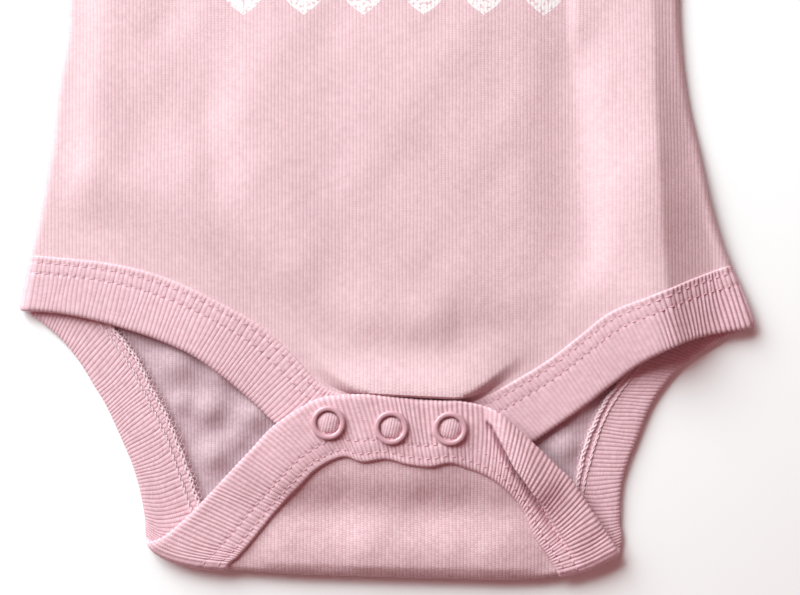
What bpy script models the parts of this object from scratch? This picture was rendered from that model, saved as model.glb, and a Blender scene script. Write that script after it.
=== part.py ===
"""Short-sleeved baby bodysuit in fine rib knit, laid flat on its back.

The front lies on the back. The back is longer: its crotch flap folds up over the front's crotch
and closes there with three ring snaps, and its shoulders lap forwards over the front.
Run with: blender --background --python part.py

Axes: X across the chest, Y from the crotch to the neck, Z up from the surface it lies on.
The origin is under the middle of the garment, on that surface.
Sizes and tables are in millimetres. Meshes are made in metres.
"""

import math

import bmesh
import bpy
import numpy as np
from mathutils import Vector
from mathutils.geometry import delaunay_2d_cdt

MM = 0.001

# ---------------------------------------------------------------- cloth
PANEL_HALF = 0.6        # half the thickness of a panel of rib knit
BAND_HALF = 1.2         # half the thickness of the doubled binding
SEAM_GAP = 0.3          # left between two pieces that are sewn together
SIDE_INSET = 2.2        # how far inside the front the edge of the back lies at the side seam

# ---------------------------------------------------------------- folds
LOW_FOLD_Y = -185.5     # middle of the cloth at the crotch fold
TOP_FOLD_Y = 185.5      # middle of the cloth at the shoulder folds
LOW_FOLD_RADIUS = 1.7
TOP_FOLD_RADIUS = 2.1
FOLD_FADE = 60.0        # how far from a fold its curve still moves the cloth
PANEL_ROLL = 2.2        # radius at which a panel turns down at the side seam
BAND_ROLL = 2.6         # and the binding at the hip

# ---------------------------------------------------------------- outline
# y, left x, right x: the sides of the body
SIDES = (
    (-110.0, -113.5, 119.0),
    (-102.5, -111.0, 117.2),
    (-94.4, -109.4, 113.8),
    (-85.1, -107.6, 109.6),
    (-71.1, -104.5, 105.1),
    (-52.5, -101.4, 101.1),
    (-33.9, -99.2, 97.2),
    (-15.3, -96.4, 95.2),
    (20.0, -95.3, 95.3),
    (50.0, -95.6, 95.6),
    (82.0, -97.0, 97.0),
)
ARMPIT_Y = 82.0

# y, distance from the centre line: the armhole seams
ARMHOLE = (
    (82.0, 97.0),
    (90.0, 90.5),
    (100.0, 85.0),
    (112.0, 81.0),
    (126.0, 78.5),
    (142.0, 77.2),
    (160.0, 77.0),
    (180.0, 77.0),
)

# x, how far the crotch fold rises towards its corners
FOLD_LIFT = (
    (-76.0, 15.5),
    (-70.7, 11.4),
    (-67.3, 8.3),
    (-63.5, 6.3),
    (-58.9, 4.9),
    (-54.2, 4.0),
    (-45.0, 3.2),
    (-30.0, 2.1),
    (0.0, 1.0),
    (25.0, 0.3),
    (42.0, 0.0),
    (52.7, 0.6),
    (58.9, 1.6),
    (63.5, 2.7),
    (68.2, 4.3),
    (72.2, 6.4),
    (76.0, 8.4),
    (80.0, 11.0),
)
# distance from the centre line, how far the shoulder slopes down
SHOULDER_DROP = (
    (0.0, 0.0),
    (44.0, 0.0),
    (60.0, 3.0),
    (78.0, 9.5),
    (100.0, 17.0),
)

# seam x, seam y, edge x, edge y: binding of the front's leg and crotch edges, left hip to right
FRONT_BAND = (
    (-107.8, -85.1, -111.2, -102.5),
    (-97.7, -86.0, -100.5, -103.0),
    (-85.2, -87.3, -89.0, -105.0),
    (-72.8, -89.7, -78.0, -108.0),
    (-60.5, -93.9, -67.0, -111.7),
    (-48.0, -100.0, -56.5, -116.5),
    (-35.6, -107.1, -47.0, -123.2),
    (-25.0, -116.5, -38.5, -130.4),
    (-17.1, -125.1, -30.5, -138.0),
    (-9.3, -128.8, -20.0, -146.0),
    (-1.0, -129.5, -5.0, -149.2),
    (8.0, -130.0, 8.0, -149.6),
    (18.0, -130.5, 22.0, -149.6),
    (27.0, -130.6, 36.0, -148.5),
    (34.5, -128.8, 47.0, -144.5),
    (43.0, -124.3, 55.5, -139.0),
    (54.0, -117.6, 64.5, -132.6),
    (63.5, -110.2, 73.5, -125.5),
    (72.9, -102.8, 82.2, -118.9),
    (85.0, -97.8, 91.5, -114.0),
    (97.7, -92.6, 101.0, -110.7),
    (111.0, -87.9, 118.6, -107.6),
)

# where it lies, seam x, seam y, edge x, edge y, roll: binding of the back's leg and flap edges,
# from the left hip, round the crotch fold, over the flap and back to the right hip
BACK_BAND = (
    ("floor", -104.0, -87.8, -107.3, -103.6, 0.0),
    ("floor", -97.7, -91.3, -102.6, -107.0, 0.0),
    ("floor", -88.3, -99.0, -96.6, -112.6, 0.0),
    ("floor", -79.5, -109.0, -90.3, -121.0, 0.0),
    ("floor", -72.8, -118.3, -84.6, -130.4, 0.0),
    ("floor", -66.7, -130.0, -79.8, -140.5, 0.0),
    ("floor", -61.5, -140.5, -76.0, -149.3, 0.0),
    ("floor", -57.4, -152.0, -73.6, -157.0, 0.0),
    ("floor", -53.4, -163.0, -71.9, -166.0, 0.0),
    ("fold", -46.5, 0.0, -70.9, 0.0, 0.0),
    ("flap", -38.7, -174.4, -62.0, -170.0, 0.0),
    ("flap", -29.9, -163.6, -52.7, -160.4, 0.0),
    ("flap", -23.3, -156.4, -41.9, -148.9, 0.0),
    ("flap", -17.2, -150.7, -31.0, -137.5, 0.0),
    ("flap", -9.6, -147.6, -19.5, -130.8, 0.0),
    ("flap", 2.0, -149.0, -3.0, -129.2, 0.0),
    ("flap", 16.0, -150.5, 12.0, -130.9, 0.0),
    ("flap", 27.9, -150.8, 26.4, -131.4, 0.0),
    ("flap", 35.5, -153.8, 37.5, -133.8, 1.8),
    ("flap", 41.5, -158.5, 47.0, -141.3, 3.2),
    ("flap", 45.9, -164.1, 55.5, -149.5, 2.6),
    ("flap", 49.5, -172.5, 63.5, -158.2, 1.2),
    ("fold", 57.4, 0.0, 76.0, 0.0, 0.0),
    ("floor", 60.5, -167.2, 76.3, -167.0, 0.0),
    ("floor", 62.2, -155.5, 77.2, -155.0, 0.0),
    ("floor", 66.0, -141.0, 81.5, -143.0, 0.0),
    ("floor", 70.8, -131.0, 86.0, -132.0, 0.0),
    ("floor", 76.0, -123.8, 91.0, -124.5, 0.0),
    ("floor", 83.5, -113.8, 97.5, -118.2, 0.0),
    ("floor", 92.5, -104.2, 104.5, -113.6, 0.0),
    ("floor", 101.5, -95.5, 110.0, -110.4, 0.0),
    ("floor", 108.0, -89.8, 114.3, -108.6, 0.0),
)

# seam x, seam y, edge x, edge y: binding of the front neck, from its middle to the armhole
FRONT_NECK = (
    (0.0, 137.0, 0.0, 149.0),
    (25.0, 140.0, 20.5, 151.2),
    (44.0, 148.5, 38.0, 159.0),
    (60.0, 156.5, 55.0, 167.5),
    (76.4, 161.5, 76.4, 172.0),
)

# seam x, seam past, edge x, edge past: binding of the back neck, from its middle to its end at
# the armhole, where "past" is measured along the cloth from the shoulder fold, forwards
BACK_NECK = (
    (0.0, -24.0, 0.0, -12.2),
    (20.0, -22.6, 17.0, -11.4),
    (38.0, -17.5, 31.0, -8.6),
    (50.0, -9.0, 40.0, -4.5),
    (58.5, 0.0, 46.5, 0.0),
    (64.5, 9.5, 54.0, 15.5),
    (70.5, 17.5, 65.0, 33.0),
    (76.4, 25.5, 77.2, 50.0),
)

# name, start x, start y, end x, end y, width, rise: soft folds of the front
FRONT_FOLDS = (
    ("left_side_ridge", -86.0, 30.0, -88.0, -72.0, 9.0, 0.9),
    ("left_trough", -64.0, 2.0, -54.0, -22.0, 8.0, -0.6),
    ("middle_trough", -52.0, -42.0, -50.0, -58.0, 7.0, -0.4),
    ("right_trough", 46.0, -36.0, 58.0, -68.0, 8.0, -1.0),
    ("right_ridge", 64.0, -30.0, 72.0, -86.0, 7.0, 1.1),
    ("side_valley", 85.5, 60.0, 88.5, -88.0, 3.2, -1.3),
    ("pucker_trough", 28.0, -110.0, 50.0, -117.0, 6.0, -0.8),
    ("chest_ridge", -30.0, 96.0, -10.0, 30.0, 14.0, 0.8),
    ("chest_trough", 22.0, 104.0, 34.0, 42.0, 10.0, -0.6),
)

LAYER_Z = 2.7           # middle of the front's cloth over the back's
SIDE_CALM = (0.8, 0.98)         # across, 1 at the side: where the soft folds fade out
HIP_LIFT = 1.2                  # more over the back binding
HIP_LIFT_X = (40.0, 66.0)       # where across it begins, and is whole
HIP_LIFT_Y = (-70.0, -40.0)     # where up the body it is whole, and ends
CROWN = 1.4                     # how far air holds the front up at its middle
CROWN_ABOVE_SEAM = (4.0, 22.0)  # where above the crotch seam it begins, and is whole
CROWN_NECK_Y = (95.0, 135.0)    # where it fades towards the neck
PUFF = 3.9              # how far the front bulges over the snapped crotch seam
PUFF_X = 9.0            # where across, and how far to each side
PUFF_REACH = 38.0
PUFF_START = 0.7        # where above the seam it begins, is whole, and how far up it fades
PUFF_CREST = 5.5
PUFF_FADE = 20.0
FOLD_END = 0.45         # how much more slowly a soft fold fades at its ends
FLAP_RISE = 0.8         # how far the flap's binding lies above its fold
FLAP_RISE_RUN = (4.0, 30.0)     # where above the fold it begins, and is whole
FLAP_PUFF = 1.6         # how far the flap bulges below its binding
FLAP_PUFF_X = 10.0      # where across, and how far to each side
FLAP_PUFF_REACH = 36.0
FLAP_PUFF_START = 8.0   # where above the fold it is whole, has its crest, and how far it fades
FLAP_PUFF_RUN = 16.0
FLAP_PUFF_FADE = 13.0
HEAP_START = (0.4, 0.66)        # across a rolled binding: where its heap begins, and is whole
HEAP_END = (0.72, 1.0)          # and where it falls
HEAP_FALL = 0.55                # by this share of it

# v from seam to edge, h from the middle in half thicknesses: a binding's section
SECTION = (
    (0.0, 0.3),
    (0.08, 0.9),
    (0.62, 1.0),
    (0.88, 0.8),
    (1.0, 0.0),
    (0.97, -0.6),
    (0.88, -1.0),
    (0.64, -1.0),
    (0.42, -1.0),
    (0.08, -1.0),
    (0.0, -0.5),
)

# ---------------------------------------------------------------- sleeves
SLEEVE_TOP = (140.0, 150.5)         # outer corners of the right sleeve's hem
SLEEVE_LOW = (115.5, 89.5)
SLEEVE_SEAM_TOP = (128.9, 155.0)    # ends of the seam between sleeve and binding
SLEEVE_SEAM_LOW = (104.3, 85.3)
SLEEVE_AXIL_Y = 82.8                # the sleeve's armhole edge, from the armpit
SLEEVE_CROWN_Y = 174.4              # to the shoulder
SLEEVE_HEIGHT = 4.6
SLEEVE_PUFF = 1.2                   # more at the middle of the sleeve's upper side
CUFF_HEIGHT = 5.6
FLATTER_BELOW = 1.6                 # how much sooner the under side turns flat
# distance along, how much thinner the wall is there: the sleeve, and its binding's rounded edges
SLEEVE_STATIONS = ((0.0, 0.0), (0.17, 0.0), (0.33, 0.0), (0.5, 0.0), (0.67, 0.0), (0.83, 0.0), (1.0, 0.0))
CUFF_STATIONS = ((0.0, 0.5), (0.1, 0.0), (0.5, 0.0), (0.92, 0.0), (1.0, 0.6))
# v from the shoulder to the armpit, h from the middle in half heights: the upper side
SLEEVE_SECTION = (
    (0.0, 0.0),
    (0.02, 0.6),
    (0.06, 0.92),
    (0.18, 1.0),
    (0.34, 1.0),
    (0.5, 1.0),
    (0.66, 1.0),
    (0.78, 1.0),
    (0.88, 1.0),
    (0.94, 0.92),
    (0.98, 0.6),
    (1.0, 0.0),
)

# ---------------------------------------------------------------- snaps
SNAPS = ((-14.4, -136.9), (5.0, -138.4), (23.2, -138.7))
RING_OUTER = 10.5
RING_INNER = 7.3
RING_HEIGHT = 1.3
RING_SIDES = 28
# across from the middle in half widths, up from the cloth in heights: a ring's section
RING_SECTION = ((-1.0, 0.0), (-1.0, 0.5), (-0.5, 1.0), (0.5, 1.0), (1.0, 0.5), (1.0, 0.0))

# ---------------------------------------------------------------- worked out
SLACK = 0.5 * math.pi - 1.0         # cloth that a fold takes up, for each unit of radius
LOW_LINE = LOW_FOLD_Y - SLACK * LOW_FOLD_RADIUS     # the crotch fold in the back's flat cut
TOP_LINE = TOP_FOLD_Y + SLACK * TOP_FOLD_RADIUS     # the shoulder fold in the back's flat cut

# ---------------------------------------------------------------- how finely a piece is divided
# count, first, last: rows and columns of points inside a panel. The front's columns and its
# turned sides are in hundredths of half its cut; the back's rows are measured from its folds.
FRONT_LOW_ROWS = (10, -128.0, -92.0)
FRONT_ROWS = (22, -83.0, 158.0)
FRONT_COLUMNS = (19, -90.0, 90.0)
FRONT_TURNED = (96.4, 97.7, 98.9, 100.0)
FRONT_EDGE = 100.0
SEAM_END = 99.0             # the crotch seam's points beyond this are left to the side seam
BACK_COLUMNS = (23, -105.0, 105.0)
FLAP_ROWS = (5, -36.0, -7.0)
BODY_ROWS = (30, 8.0, -10.0)
LAP_ROWS = (10.0, 17.0)
FOLD_STEP = 0.66            # spacing of the rows round a fold, and how many lie to each side
FOLD_ROWS = 5
CLEAR = 2.7                 # how far the points inside a panel keep from its edge
CLEAR_AT_SIDE = 0.5         # and in its turned sides
LEFT_HIP_Y = -84.4          # lower ends of the front's sides
RIGHT_HIP_Y = -87.2
# count, first, last: points along the edges of the panels
BACK_SIDE = (13, -84.0, 82.0)
FRONT_ARM = (13, 84.0, 160.5)
BACK_ARM = (13, 86.0, 166.0)
LAP_ARM = (166.0, 159.0)
SEAM_POINTS = 64
NECK_POINTS = 25
BAND_STEPS = 2              # sections between two rows of a binding's table
FRONT_NECK_STEPS = 3
NEAR_FOLD = (0.035, 0.07, 0.105, 0.15, 0.25, 0.45, 0.7)     # and next to a row on a fold
NORMAL_STEP = 0.05          # over which the cloth's slope is measured
SAME_POINT = 1e-5           # points of a flat cut nearer than this are one

# ---------------------------------------------------------------- colours
KNIT_PINK = (0.83, 0.58, 0.62)
BINDING_PINK = (0.84, 0.55, 0.60)
SNAP_PINK = (0.72, 0.40, 0.45)


# ================================================================ shape helpers
def smooth_step(low, high, value):
    """0 below low, 1 above high, and an S curve between."""
    t = min(max((value - low) / (high - low), 0.0), 1.0)
    return t * t * (3.0 - 2.0 * t)


def smooth_curve(table, column):
    """A function that reads a table's column at a value of its first, on a smooth curve."""
    rows = np.asarray([[float(cell) for cell in row[:column + 1]] for row in table])
    xs = rows[:, 0]
    ys = rows[:, column]
    slopes = np.gradient(ys, xs)

    def read(value):
        at = min(max(value, xs[0]), xs[-1])
        i = min(max(int(np.searchsorted(xs, at)) - 1, 0), len(xs) - 2)
        gap = xs[i + 1] - xs[i]
        t = (at - xs[i]) / gap
        start = (1.0 + 2.0 * t) * (1.0 - t) ** 2
        leave = t * (1.0 - t) ** 2 * gap
        arrive = t * t * (t - 1.0) * gap
        return start * ys[i] + (1.0 - start) * ys[i + 1] + leave * slopes[i] + arrive * slopes[i + 1]

    return read


def through(rows, position):
    """The row at a position along a table, on a smooth curve through its rows."""
    rows = np.asarray(rows, dtype=float)
    i = int(min(position, len(rows) - 2))
    t = position - i
    before = rows[i - 1] if i > 0 else 2.0 * rows[0] - rows[1]
    after = rows[i + 2] if i + 2 < len(rows) else 2.0 * rows[-1] - rows[-2]
    p, q = rows[i], rows[i + 1]
    return 0.5 * (
        2.0 * p
        + (q - before) * t
        + (2.0 * before - 5.0 * p + 4.0 * q - after) * t * t
        + (3.0 * p - before - 3.0 * q + after) * t ** 3
    )


def mirrored(rows):
    """A table's rows on the left, in reverse, then on the right, with the middle row once."""
    left = [(-r[0], r[1], -r[2], r[3]) for r in reversed(rows[1:])]
    return left + list(rows)


def inset(curve, gap):
    """A curve's points, moved to the left of its direction by a gap."""
    points = [np.asarray(p, dtype=float) for p in curve]
    moved = []
    for i, point in enumerate(points):
        ahead = points[min(i + 1, len(points) - 1)] - points[max(i - 1, 0)]
        ahead = ahead / np.hypot(*ahead)
        moved.append((point[0] - gap * ahead[1], point[1] + gap * ahead[0]))
    return moved


side_left = smooth_curve(SIDES, 1)
side_right = smooth_curve(SIDES, 2)
armhole = smooth_curve(ARMHOLE, 1)
fold_lift = smooth_curve(FOLD_LIFT, 1)
shoulder_drop = smooth_curve(SHOULDER_DROP, 1)
front_seam = smooth_curve(FRONT_BAND, 1)


# ================================================================ where the cloth lies
def body_middle(y):
    """The middle of the body at a height."""
    return 0.5 * (side_left(y) + side_right(y))


def body_reach(y):
    """Half the body's width at a height."""
    return 0.5 * (side_right(y) - side_left(y))


def soft_folds(x, y):
    """The rise of the front's soft ridges, less the depth of its troughs."""
    total = 0.0
    for _name, x0, y0, x1, y1, width, rise in FRONT_FOLDS:
        dx, dy = x1 - x0, y1 - y0
        t = min(max(((x - x0) * dx + (y - y0) * dy) / (dx * dx + dy * dy), 0.0), 1.0)
        off = math.hypot(x - x0 - t * dx, (y - y0 - t * dy) * FOLD_END)
        total += rise * math.exp(-((off / width) ** 2))
    return total


def front_height(x, y):
    """The middle of the front's cloth above the surface."""
    across = min(abs(x - body_middle(y)) / body_reach(y), 1.0)
    inside = 1.0 - smooth_step(*SIDE_CALM, across)
    below = 1.0 - smooth_step(*HIP_LIFT_Y, y)
    lift = HIP_LIFT * smooth_step(*HIP_LIFT_X, abs(x - PUFF_X)) * below
    above_seam = y - front_seam(x)
    clear = smooth_step(*CROWN_ABOVE_SEAM, above_seam) * (1.0 - smooth_step(*CROWN_NECK_Y, y))
    crown = CROWN * (1.0 - across ** 2) * clear
    near = math.exp(-(((x - PUFF_X) / PUFF_REACH) ** 4))
    far = max(above_seam - PUFF_CREST, 0.0) / PUFF_FADE
    bulge = PUFF * near * smooth_step(PUFF_START, PUFF_CREST, above_seam) * math.exp(-far * far)
    return LAYER_Z + lift + crown + bulge + soft_folds(x, y) * clear * inside


def front_place(x, y, half, roll):
    """A point of the front's flat cut, laid on the back and turned down at the sides."""
    middle = body_middle(y)
    flat = body_reach(y) - half - roll
    off = x - middle
    if abs(off) <= flat:
        return Vector((x, y, front_height(x, y)))
    turn = min((abs(off) - flat) / roll, 0.5 * math.pi)
    out = middle + math.copysign(flat + roll * math.sin(turn), off)
    return Vector((out, y, front_height(out, y) - roll * (1.0 - math.cos(turn))))


def front_cut_half(y, half, roll):
    """Half the width of the front's flat cut at a height."""
    return body_reach(y) - half - roll + 0.5 * math.pi * roll


def fold_over(past, radius):
    """How far back and how high a fold carries a point that lies this far past its middle."""
    quarter = 0.5 * math.pi * radius
    if past <= -quarter:
        return -past - quarter + radius, 0.0
    if past >= quarter:
        return past - quarter + radius, 2.0 * radius
    turn = past / radius
    return radius * (1.0 - math.cos(turn)), radius * (1.0 + math.sin(turn))


def low_cut(x, y, where):
    """Where a point that lies at x, y near the crotch is along the back's flat cut."""
    if where == "fold":
        return LOW_LINE
    lift = fold_lift(x)
    run = (y - LOW_FOLD_Y - lift) / (1.0 - lift / FOLD_FADE)
    if run > FOLD_FADE:
        run = y - LOW_FOLD_Y
    past = run + SLACK * LOW_FOLD_RADIUS
    return LOW_LINE - past if where == "flap" else LOW_LINE + past


def top_cut(x, y, where):
    """Where a point that lies at x, y near a shoulder is along the back's flat cut."""
    drop = shoulder_drop(abs(x))
    run = (TOP_FOLD_Y - y - drop) / (1.0 - drop / FOLD_FADE)
    if run > FOLD_FADE:
        run = TOP_FOLD_Y - y
    past = run + SLACK * TOP_FOLD_RADIUS
    return TOP_LINE + past if where == "lap" else TOP_LINE - past


def flap_rise(x, run):
    """How far the folded-up flap rises above the top of its fold."""
    rise = FLAP_RISE * smooth_step(*FLAP_RISE_RUN, run)
    across = (x - FLAP_PUFF_X) / FLAP_PUFF_REACH
    along = (run - FLAP_PUFF_RUN) / FLAP_PUFF_FADE
    start = smooth_step(0.0, FLAP_PUFF_START, run)
    return rise + FLAP_PUFF * math.exp(-across ** 4 - along ** 2) * start


def back_place(x, cut, half):
    """A point of the back's flat cut, laid down and folded over at crotch and shoulders."""
    if cut < 0.0:
        run, rise = fold_over(LOW_LINE - cut, LOW_FOLD_RADIUS)
        if cut < LOW_LINE:
            rise += flap_rise(x, run)
        y = LOW_FOLD_Y + run + fold_lift(x) * max(1.0 - run / FOLD_FADE, 0.0)
    else:
        run, rise = fold_over(cut - TOP_LINE, TOP_FOLD_RADIUS)
        y = TOP_FOLD_Y - run - shoulder_drop(abs(x)) * max(1.0 - run / FOLD_FADE, 0.0)
    return Vector((x, y, half + rise))


# ================================================================ meshes
def add_object(name, points, faces, material):
    """Make a named object from points in millimetres and faces, with one material."""
    mesh = bpy.data.meshes.new(name)
    mesh.from_pydata([tuple(c * MM for c in p) for p in points], [], faces)
    mesh.validate()
    mesh.materials.append(material)
    mesh.shade_smooth()
    mesh.set_sharp_from_angle(angle=math.radians(50.0))
    obj = bpy.data.objects.new(name, mesh)
    bpy.context.scene.collection.objects.link(obj)
    return obj


def make_material(name, colour, roughness, metallic=0.0):
    """A Principled material."""
    material = bpy.data.materials.new(name)
    material.use_nodes = True
    shader = material.node_tree.nodes["Principled BSDF"]
    shader.inputs["Base Color"].default_value = (*colour, 1.0)
    shader.inputs["Roughness"].default_value = roughness
    shader.inputs["Metallic"].default_value = metallic
    material.diffuse_color = (*colour, 1.0)
    return material


def inside_and_clear(point, loop, clear):
    """True where a point lies inside a closed outline and this far from it."""
    a = loop
    b = np.roll(loop, -1, axis=0)
    edge = b - a
    to = point - a
    t = np.clip((to * edge).sum(1) / (edge * edge).sum(1), 0.0, 1.0)
    off = to - edge * t[:, None]
    if np.hypot(off[:, 0], off[:, 1]).min() < clear:
        return False
    crosses = (a[:, 1] > point[1]) != (b[:, 1] > point[1])
    rise = np.where(edge[:, 1] == 0.0, 1.0, edge[:, 1])
    hits = crosses & (point[0] < a[:, 0] + (point[1] - a[:, 1]) / rise * edge[:, 0])
    return bool(hits.sum() % 2)


def cut_panel(name, loop, columns, rows, place, half, material):
    """Cut a panel to its outline, lay its points with place() and give it its thickness."""
    loop = np.asarray(loop, dtype=float)
    points = [Vector(p) for p in loop]
    for y in rows:
        for x in columns:
            clear = CLEAR if abs(x) < columns[-3] else CLEAR_AT_SIDE
            if inside_and_clear(np.array((x, y)), loop, clear):
                points.append(Vector((x, y)))
    count = len(loop)
    border = [(i, (i + 1) % count) for i in range(count)]
    verts, _edges, faces, *_rest = delaunay_2d_cdt(points, border, [], 1, SAME_POINT)
    laid = np.array([tuple(place(v.x, v.y)) for v in verts])
    faces = [tuple(f) for f in faces]
    normals = np.zeros_like(laid)
    for a, b, c in faces:
        normals[[a, b, c]] += np.cross(laid[b] - laid[a], laid[c] - laid[a])
    normals /= np.linalg.norm(normals, axis=1)[:, None]
    upper = laid + normals * half
    lower = laid - normals * half
    total = len(laid)
    solid = list(faces) + [(a + total, c + total, b + total) for a, b, c in faces]
    directed = {(f[i], f[(i + 1) % 3]) for f in faces for i in range(3)}
    for a, b in sorted(directed):
        if (b, a) not in directed:
            solid.append((b, a, a + total, b + total))
    return add_object(name, list(upper) + list(lower), solid, material)


def facing(place, x, past):
    """The cloth's unit normal at a point of its flat cut."""
    along = place(x + NORMAL_STEP, past) - place(x - NORMAL_STEP, past)
    over = place(x, past + NORMAL_STEP) - place(x, past - NORMAL_STEP)
    return along.cross(over).normalized()


def sew_band(name, sections, place, half, material):
    """Sew a binding whose sections run from its seam to its folded edge.

    Each section is seam x, seam y, edge x, edge y and roll, in the flat cut. The roll heaps up
    the part of the binding beyond its stitching.
    """
    points = []
    for seam_x, seam_y, edge_x, edge_y, roll in sections:
        for v, h in SECTION:
            x = seam_x + (edge_x - seam_x) * v
            y = seam_y + (edge_y - seam_y) * v
            point = place(x, y) + facing(place, x, y) * h * half
            heap = smooth_step(*HEAP_START, v) * (1.0 - HEAP_FALL * smooth_step(*HEAP_END, v))
            point.z += max(roll, 0.0) * heap
            points.append(point)
    size = len(SECTION)
    stations = len(sections)
    faces = [tuple(range(size)), tuple(reversed(range((stations - 1) * size, stations * size)))]
    for s in range(stations - 1):
        for k in range(size):
            a = s * size + k
            b = s * size + (k + 1) % size
            faces.append((a, a + size, b + size, b))
    obj = add_object(name, points, faces, material)
    face_out(obj.data)
    return obj


def face_out(mesh):
    """Turn a closed mesh's faces outwards."""
    shape = bmesh.new()
    shape.from_mesh(mesh)
    bmesh.ops.triangulate(shape, faces=shape.faces)
    bmesh.ops.recalc_face_normals(shape, faces=shape.faces)
    shape.to_mesh(mesh)
    shape.free()


def spread(count, first, last):
    """Evenly spaced numbers, ends included."""
    return [first + (last - first) * i / (count - 1) for i in range(count)]


# ================================================================ pieces
def make_front_panel(material):
    """The front, from its neck seam to the seam of its leg and crotch binding."""
    seam = [through(FRONT_BAND, t)[:2] for t in spread(SEAM_POINTS, 0.0, len(FRONT_BAND) - 1.0)]
    neck_rows = mirrored(FRONT_NECK)
    neck = [through(neck_rows, t)[:2] for t in spread(NECK_POINTS, 0.0, len(neck_rows) - 1.0)]
    arm = spread(*FRONT_ARM)
    body_rows = spread(*FRONT_ROWS)
    side = [y for y in body_rows if y < ARMPIT_Y] + [ARMPIT_Y]

    def edge(y):
        return front_cut_half(y, PANEL_HALF, PANEL_ROLL)

    def to_cut(x, y):
        return (FRONT_EDGE * (x - body_middle(y)) / edge(y), y)

    def place(u, y):
        return front_place(body_middle(y) + u * edge(y) / FRONT_EDGE, y, PANEL_HALF, PANEL_ROLL)

    loop = [to_cut(x, y) for x, y in inset(seam, 2.0 * SEAM_GAP)]
    loop = [point for point in loop if abs(point[0]) < SEAM_END]
    loop += [(FRONT_EDGE, y) for y in [RIGHT_HIP_Y] + side]
    loop += [to_cut(armhole(y), y) for y in arm]
    loop += [to_cut(x, y) for x, y in inset(list(reversed(neck)), SEAM_GAP)]
    loop += [to_cut(-armhole(y), y) for y in reversed(arm)]
    loop += [(-FRONT_EDGE, y) for y in reversed([LEFT_HIP_Y] + side)]
    turned = list(FRONT_TURNED)
    columns = [-u for u in reversed(turned)] + spread(*FRONT_COLUMNS) + turned
    rows = spread(*FRONT_LOW_ROWS) + body_rows
    return cut_panel("front_panel", loop, columns, rows, place, PANEL_HALF, material)


def back_band_sections():
    """Sections of the back's leg and flap binding, closest where it turns over the fold."""
    cut = []
    for where, seam_x, seam_y, edge_x, edge_y, roll in BACK_BAND:
        seam = low_cut(seam_x, seam_y, where)
        edge = low_cut(edge_x, edge_y, where)
        cut.append((seam_x, seam, edge_x, edge, roll))
    places = [row[0] for row in BACK_BAND]
    return [tuple(through(cut, p)) for p in positions_along(places, BAND_STEPS)]


def positions_along(places, steps):
    """Positions along a table, closer together on both sides of its rows on a fold."""
    positions = []
    for i in range(len(places) - 1):
        if places[i] == "fold":
            inner = list(NEAR_FOLD)
        elif places[i + 1] == "fold":
            inner = [1.0 - t for t in reversed(NEAR_FOLD)]
        else:
            inner = [(k + 1) / steps for k in range(steps - 1)]
        positions += [float(i)] + [i + t for t in inner]
    return positions + [len(places) - 1.0]


def neck_sections(table, places, steps):
    """Sections of a neck binding, from one armhole to the other."""
    return [(*through(table, p), 0.0) for p in positions_along(places, steps)]


def make_back_panel(material):
    """The back, with its crotch flap folded up and its shoulders lapped forwards."""
    leg = [row[:2] for row in back_band_sections()]
    neck_rows, neck_places = back_neck_rows()
    neck = [row[:2] for row in neck_sections(neck_rows, neck_places, BAND_STEPS)]
    flank = spread(*BACK_SIDE)
    near_fold = [k * FOLD_STEP for k in range(-FOLD_ROWS, FOLD_ROWS + 1)]
    arm = [(armhole(y), top_cut(armhole(y), y, "floor")) for y in spread(*BACK_ARM)]
    arm += [(armhole(TOP_FOLD_Y), TOP_LINE + past) for past in near_fold]
    arm += [(armhole(y), top_cut(armhole(y), y, "lap")) for y in LAP_ARM]
    loop = inset(leg, SEAM_GAP)
    loop += [(side_right(y) - SIDE_INSET, y) for y in flank]
    loop += arm
    loop += inset(list(reversed(neck)), SEAM_GAP)
    loop += [(-x, c) for x, c in reversed(arm)]
    loop += [(side_left(y) + SIDE_INSET, y) for y in reversed(flank)]
    count, above_low, below_top = BODY_ROWS
    rows = [LOW_LINE + past for past in spread(*FLAP_ROWS) + near_fold]
    rows += spread(count, LOW_LINE + above_low, TOP_LINE + below_top)
    rows += [TOP_LINE + past for past in near_fold + list(LAP_ROWS)]

    def place(x, cut):
        return back_place(x, cut, PANEL_HALF)

    columns = spread(*BACK_COLUMNS)
    return cut_panel("back_panel", loop, columns, rows, place, PANEL_HALF, material)


def back_neck_rows():
    """The back neck binding's rows in the flat cut, and where each lies."""
    rows = [(sx, TOP_LINE + sp, ex, TOP_LINE + ep) for sx, sp, ex, ep in BACK_NECK]
    places = ["fold" if row[1] == 0.0 else "cloth" for row in BACK_NECK]
    return mirrored(rows), list(reversed(places[1:])) + places


def make_bindings(material):
    """The doubled ribbed bindings of the leg, crotch, flap and neck edges."""

    def on_back(x, cut):
        return back_place(x, cut, BAND_HALF)

    def on_front(x, y):
        return front_place(x, y, BAND_HALF, BAND_ROLL)

    sew_band("back_leg_binding", back_band_sections(), on_back, BAND_HALF, material)
    places = ["fold"] + ["cloth"] * (len(FRONT_BAND) - 2) + ["fold"]
    front = [(*through(FRONT_BAND, p), 0.0) for p in positions_along(places, BAND_STEPS)]
    sew_band("front_leg_binding", front, on_front, BAND_HALF, material)
    rows, places = back_neck_rows()
    back = neck_sections(rows, places, BAND_STEPS)
    sew_band("back_neck_binding", back, on_back, BAND_HALF, material)
    rows = mirrored(FRONT_NECK)
    front = neck_sections(rows, ["cloth"] * len(rows), FRONT_NECK_STEPS)
    sew_band("front_neck_binding", front, on_front, BAND_HALF, material)


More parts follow.
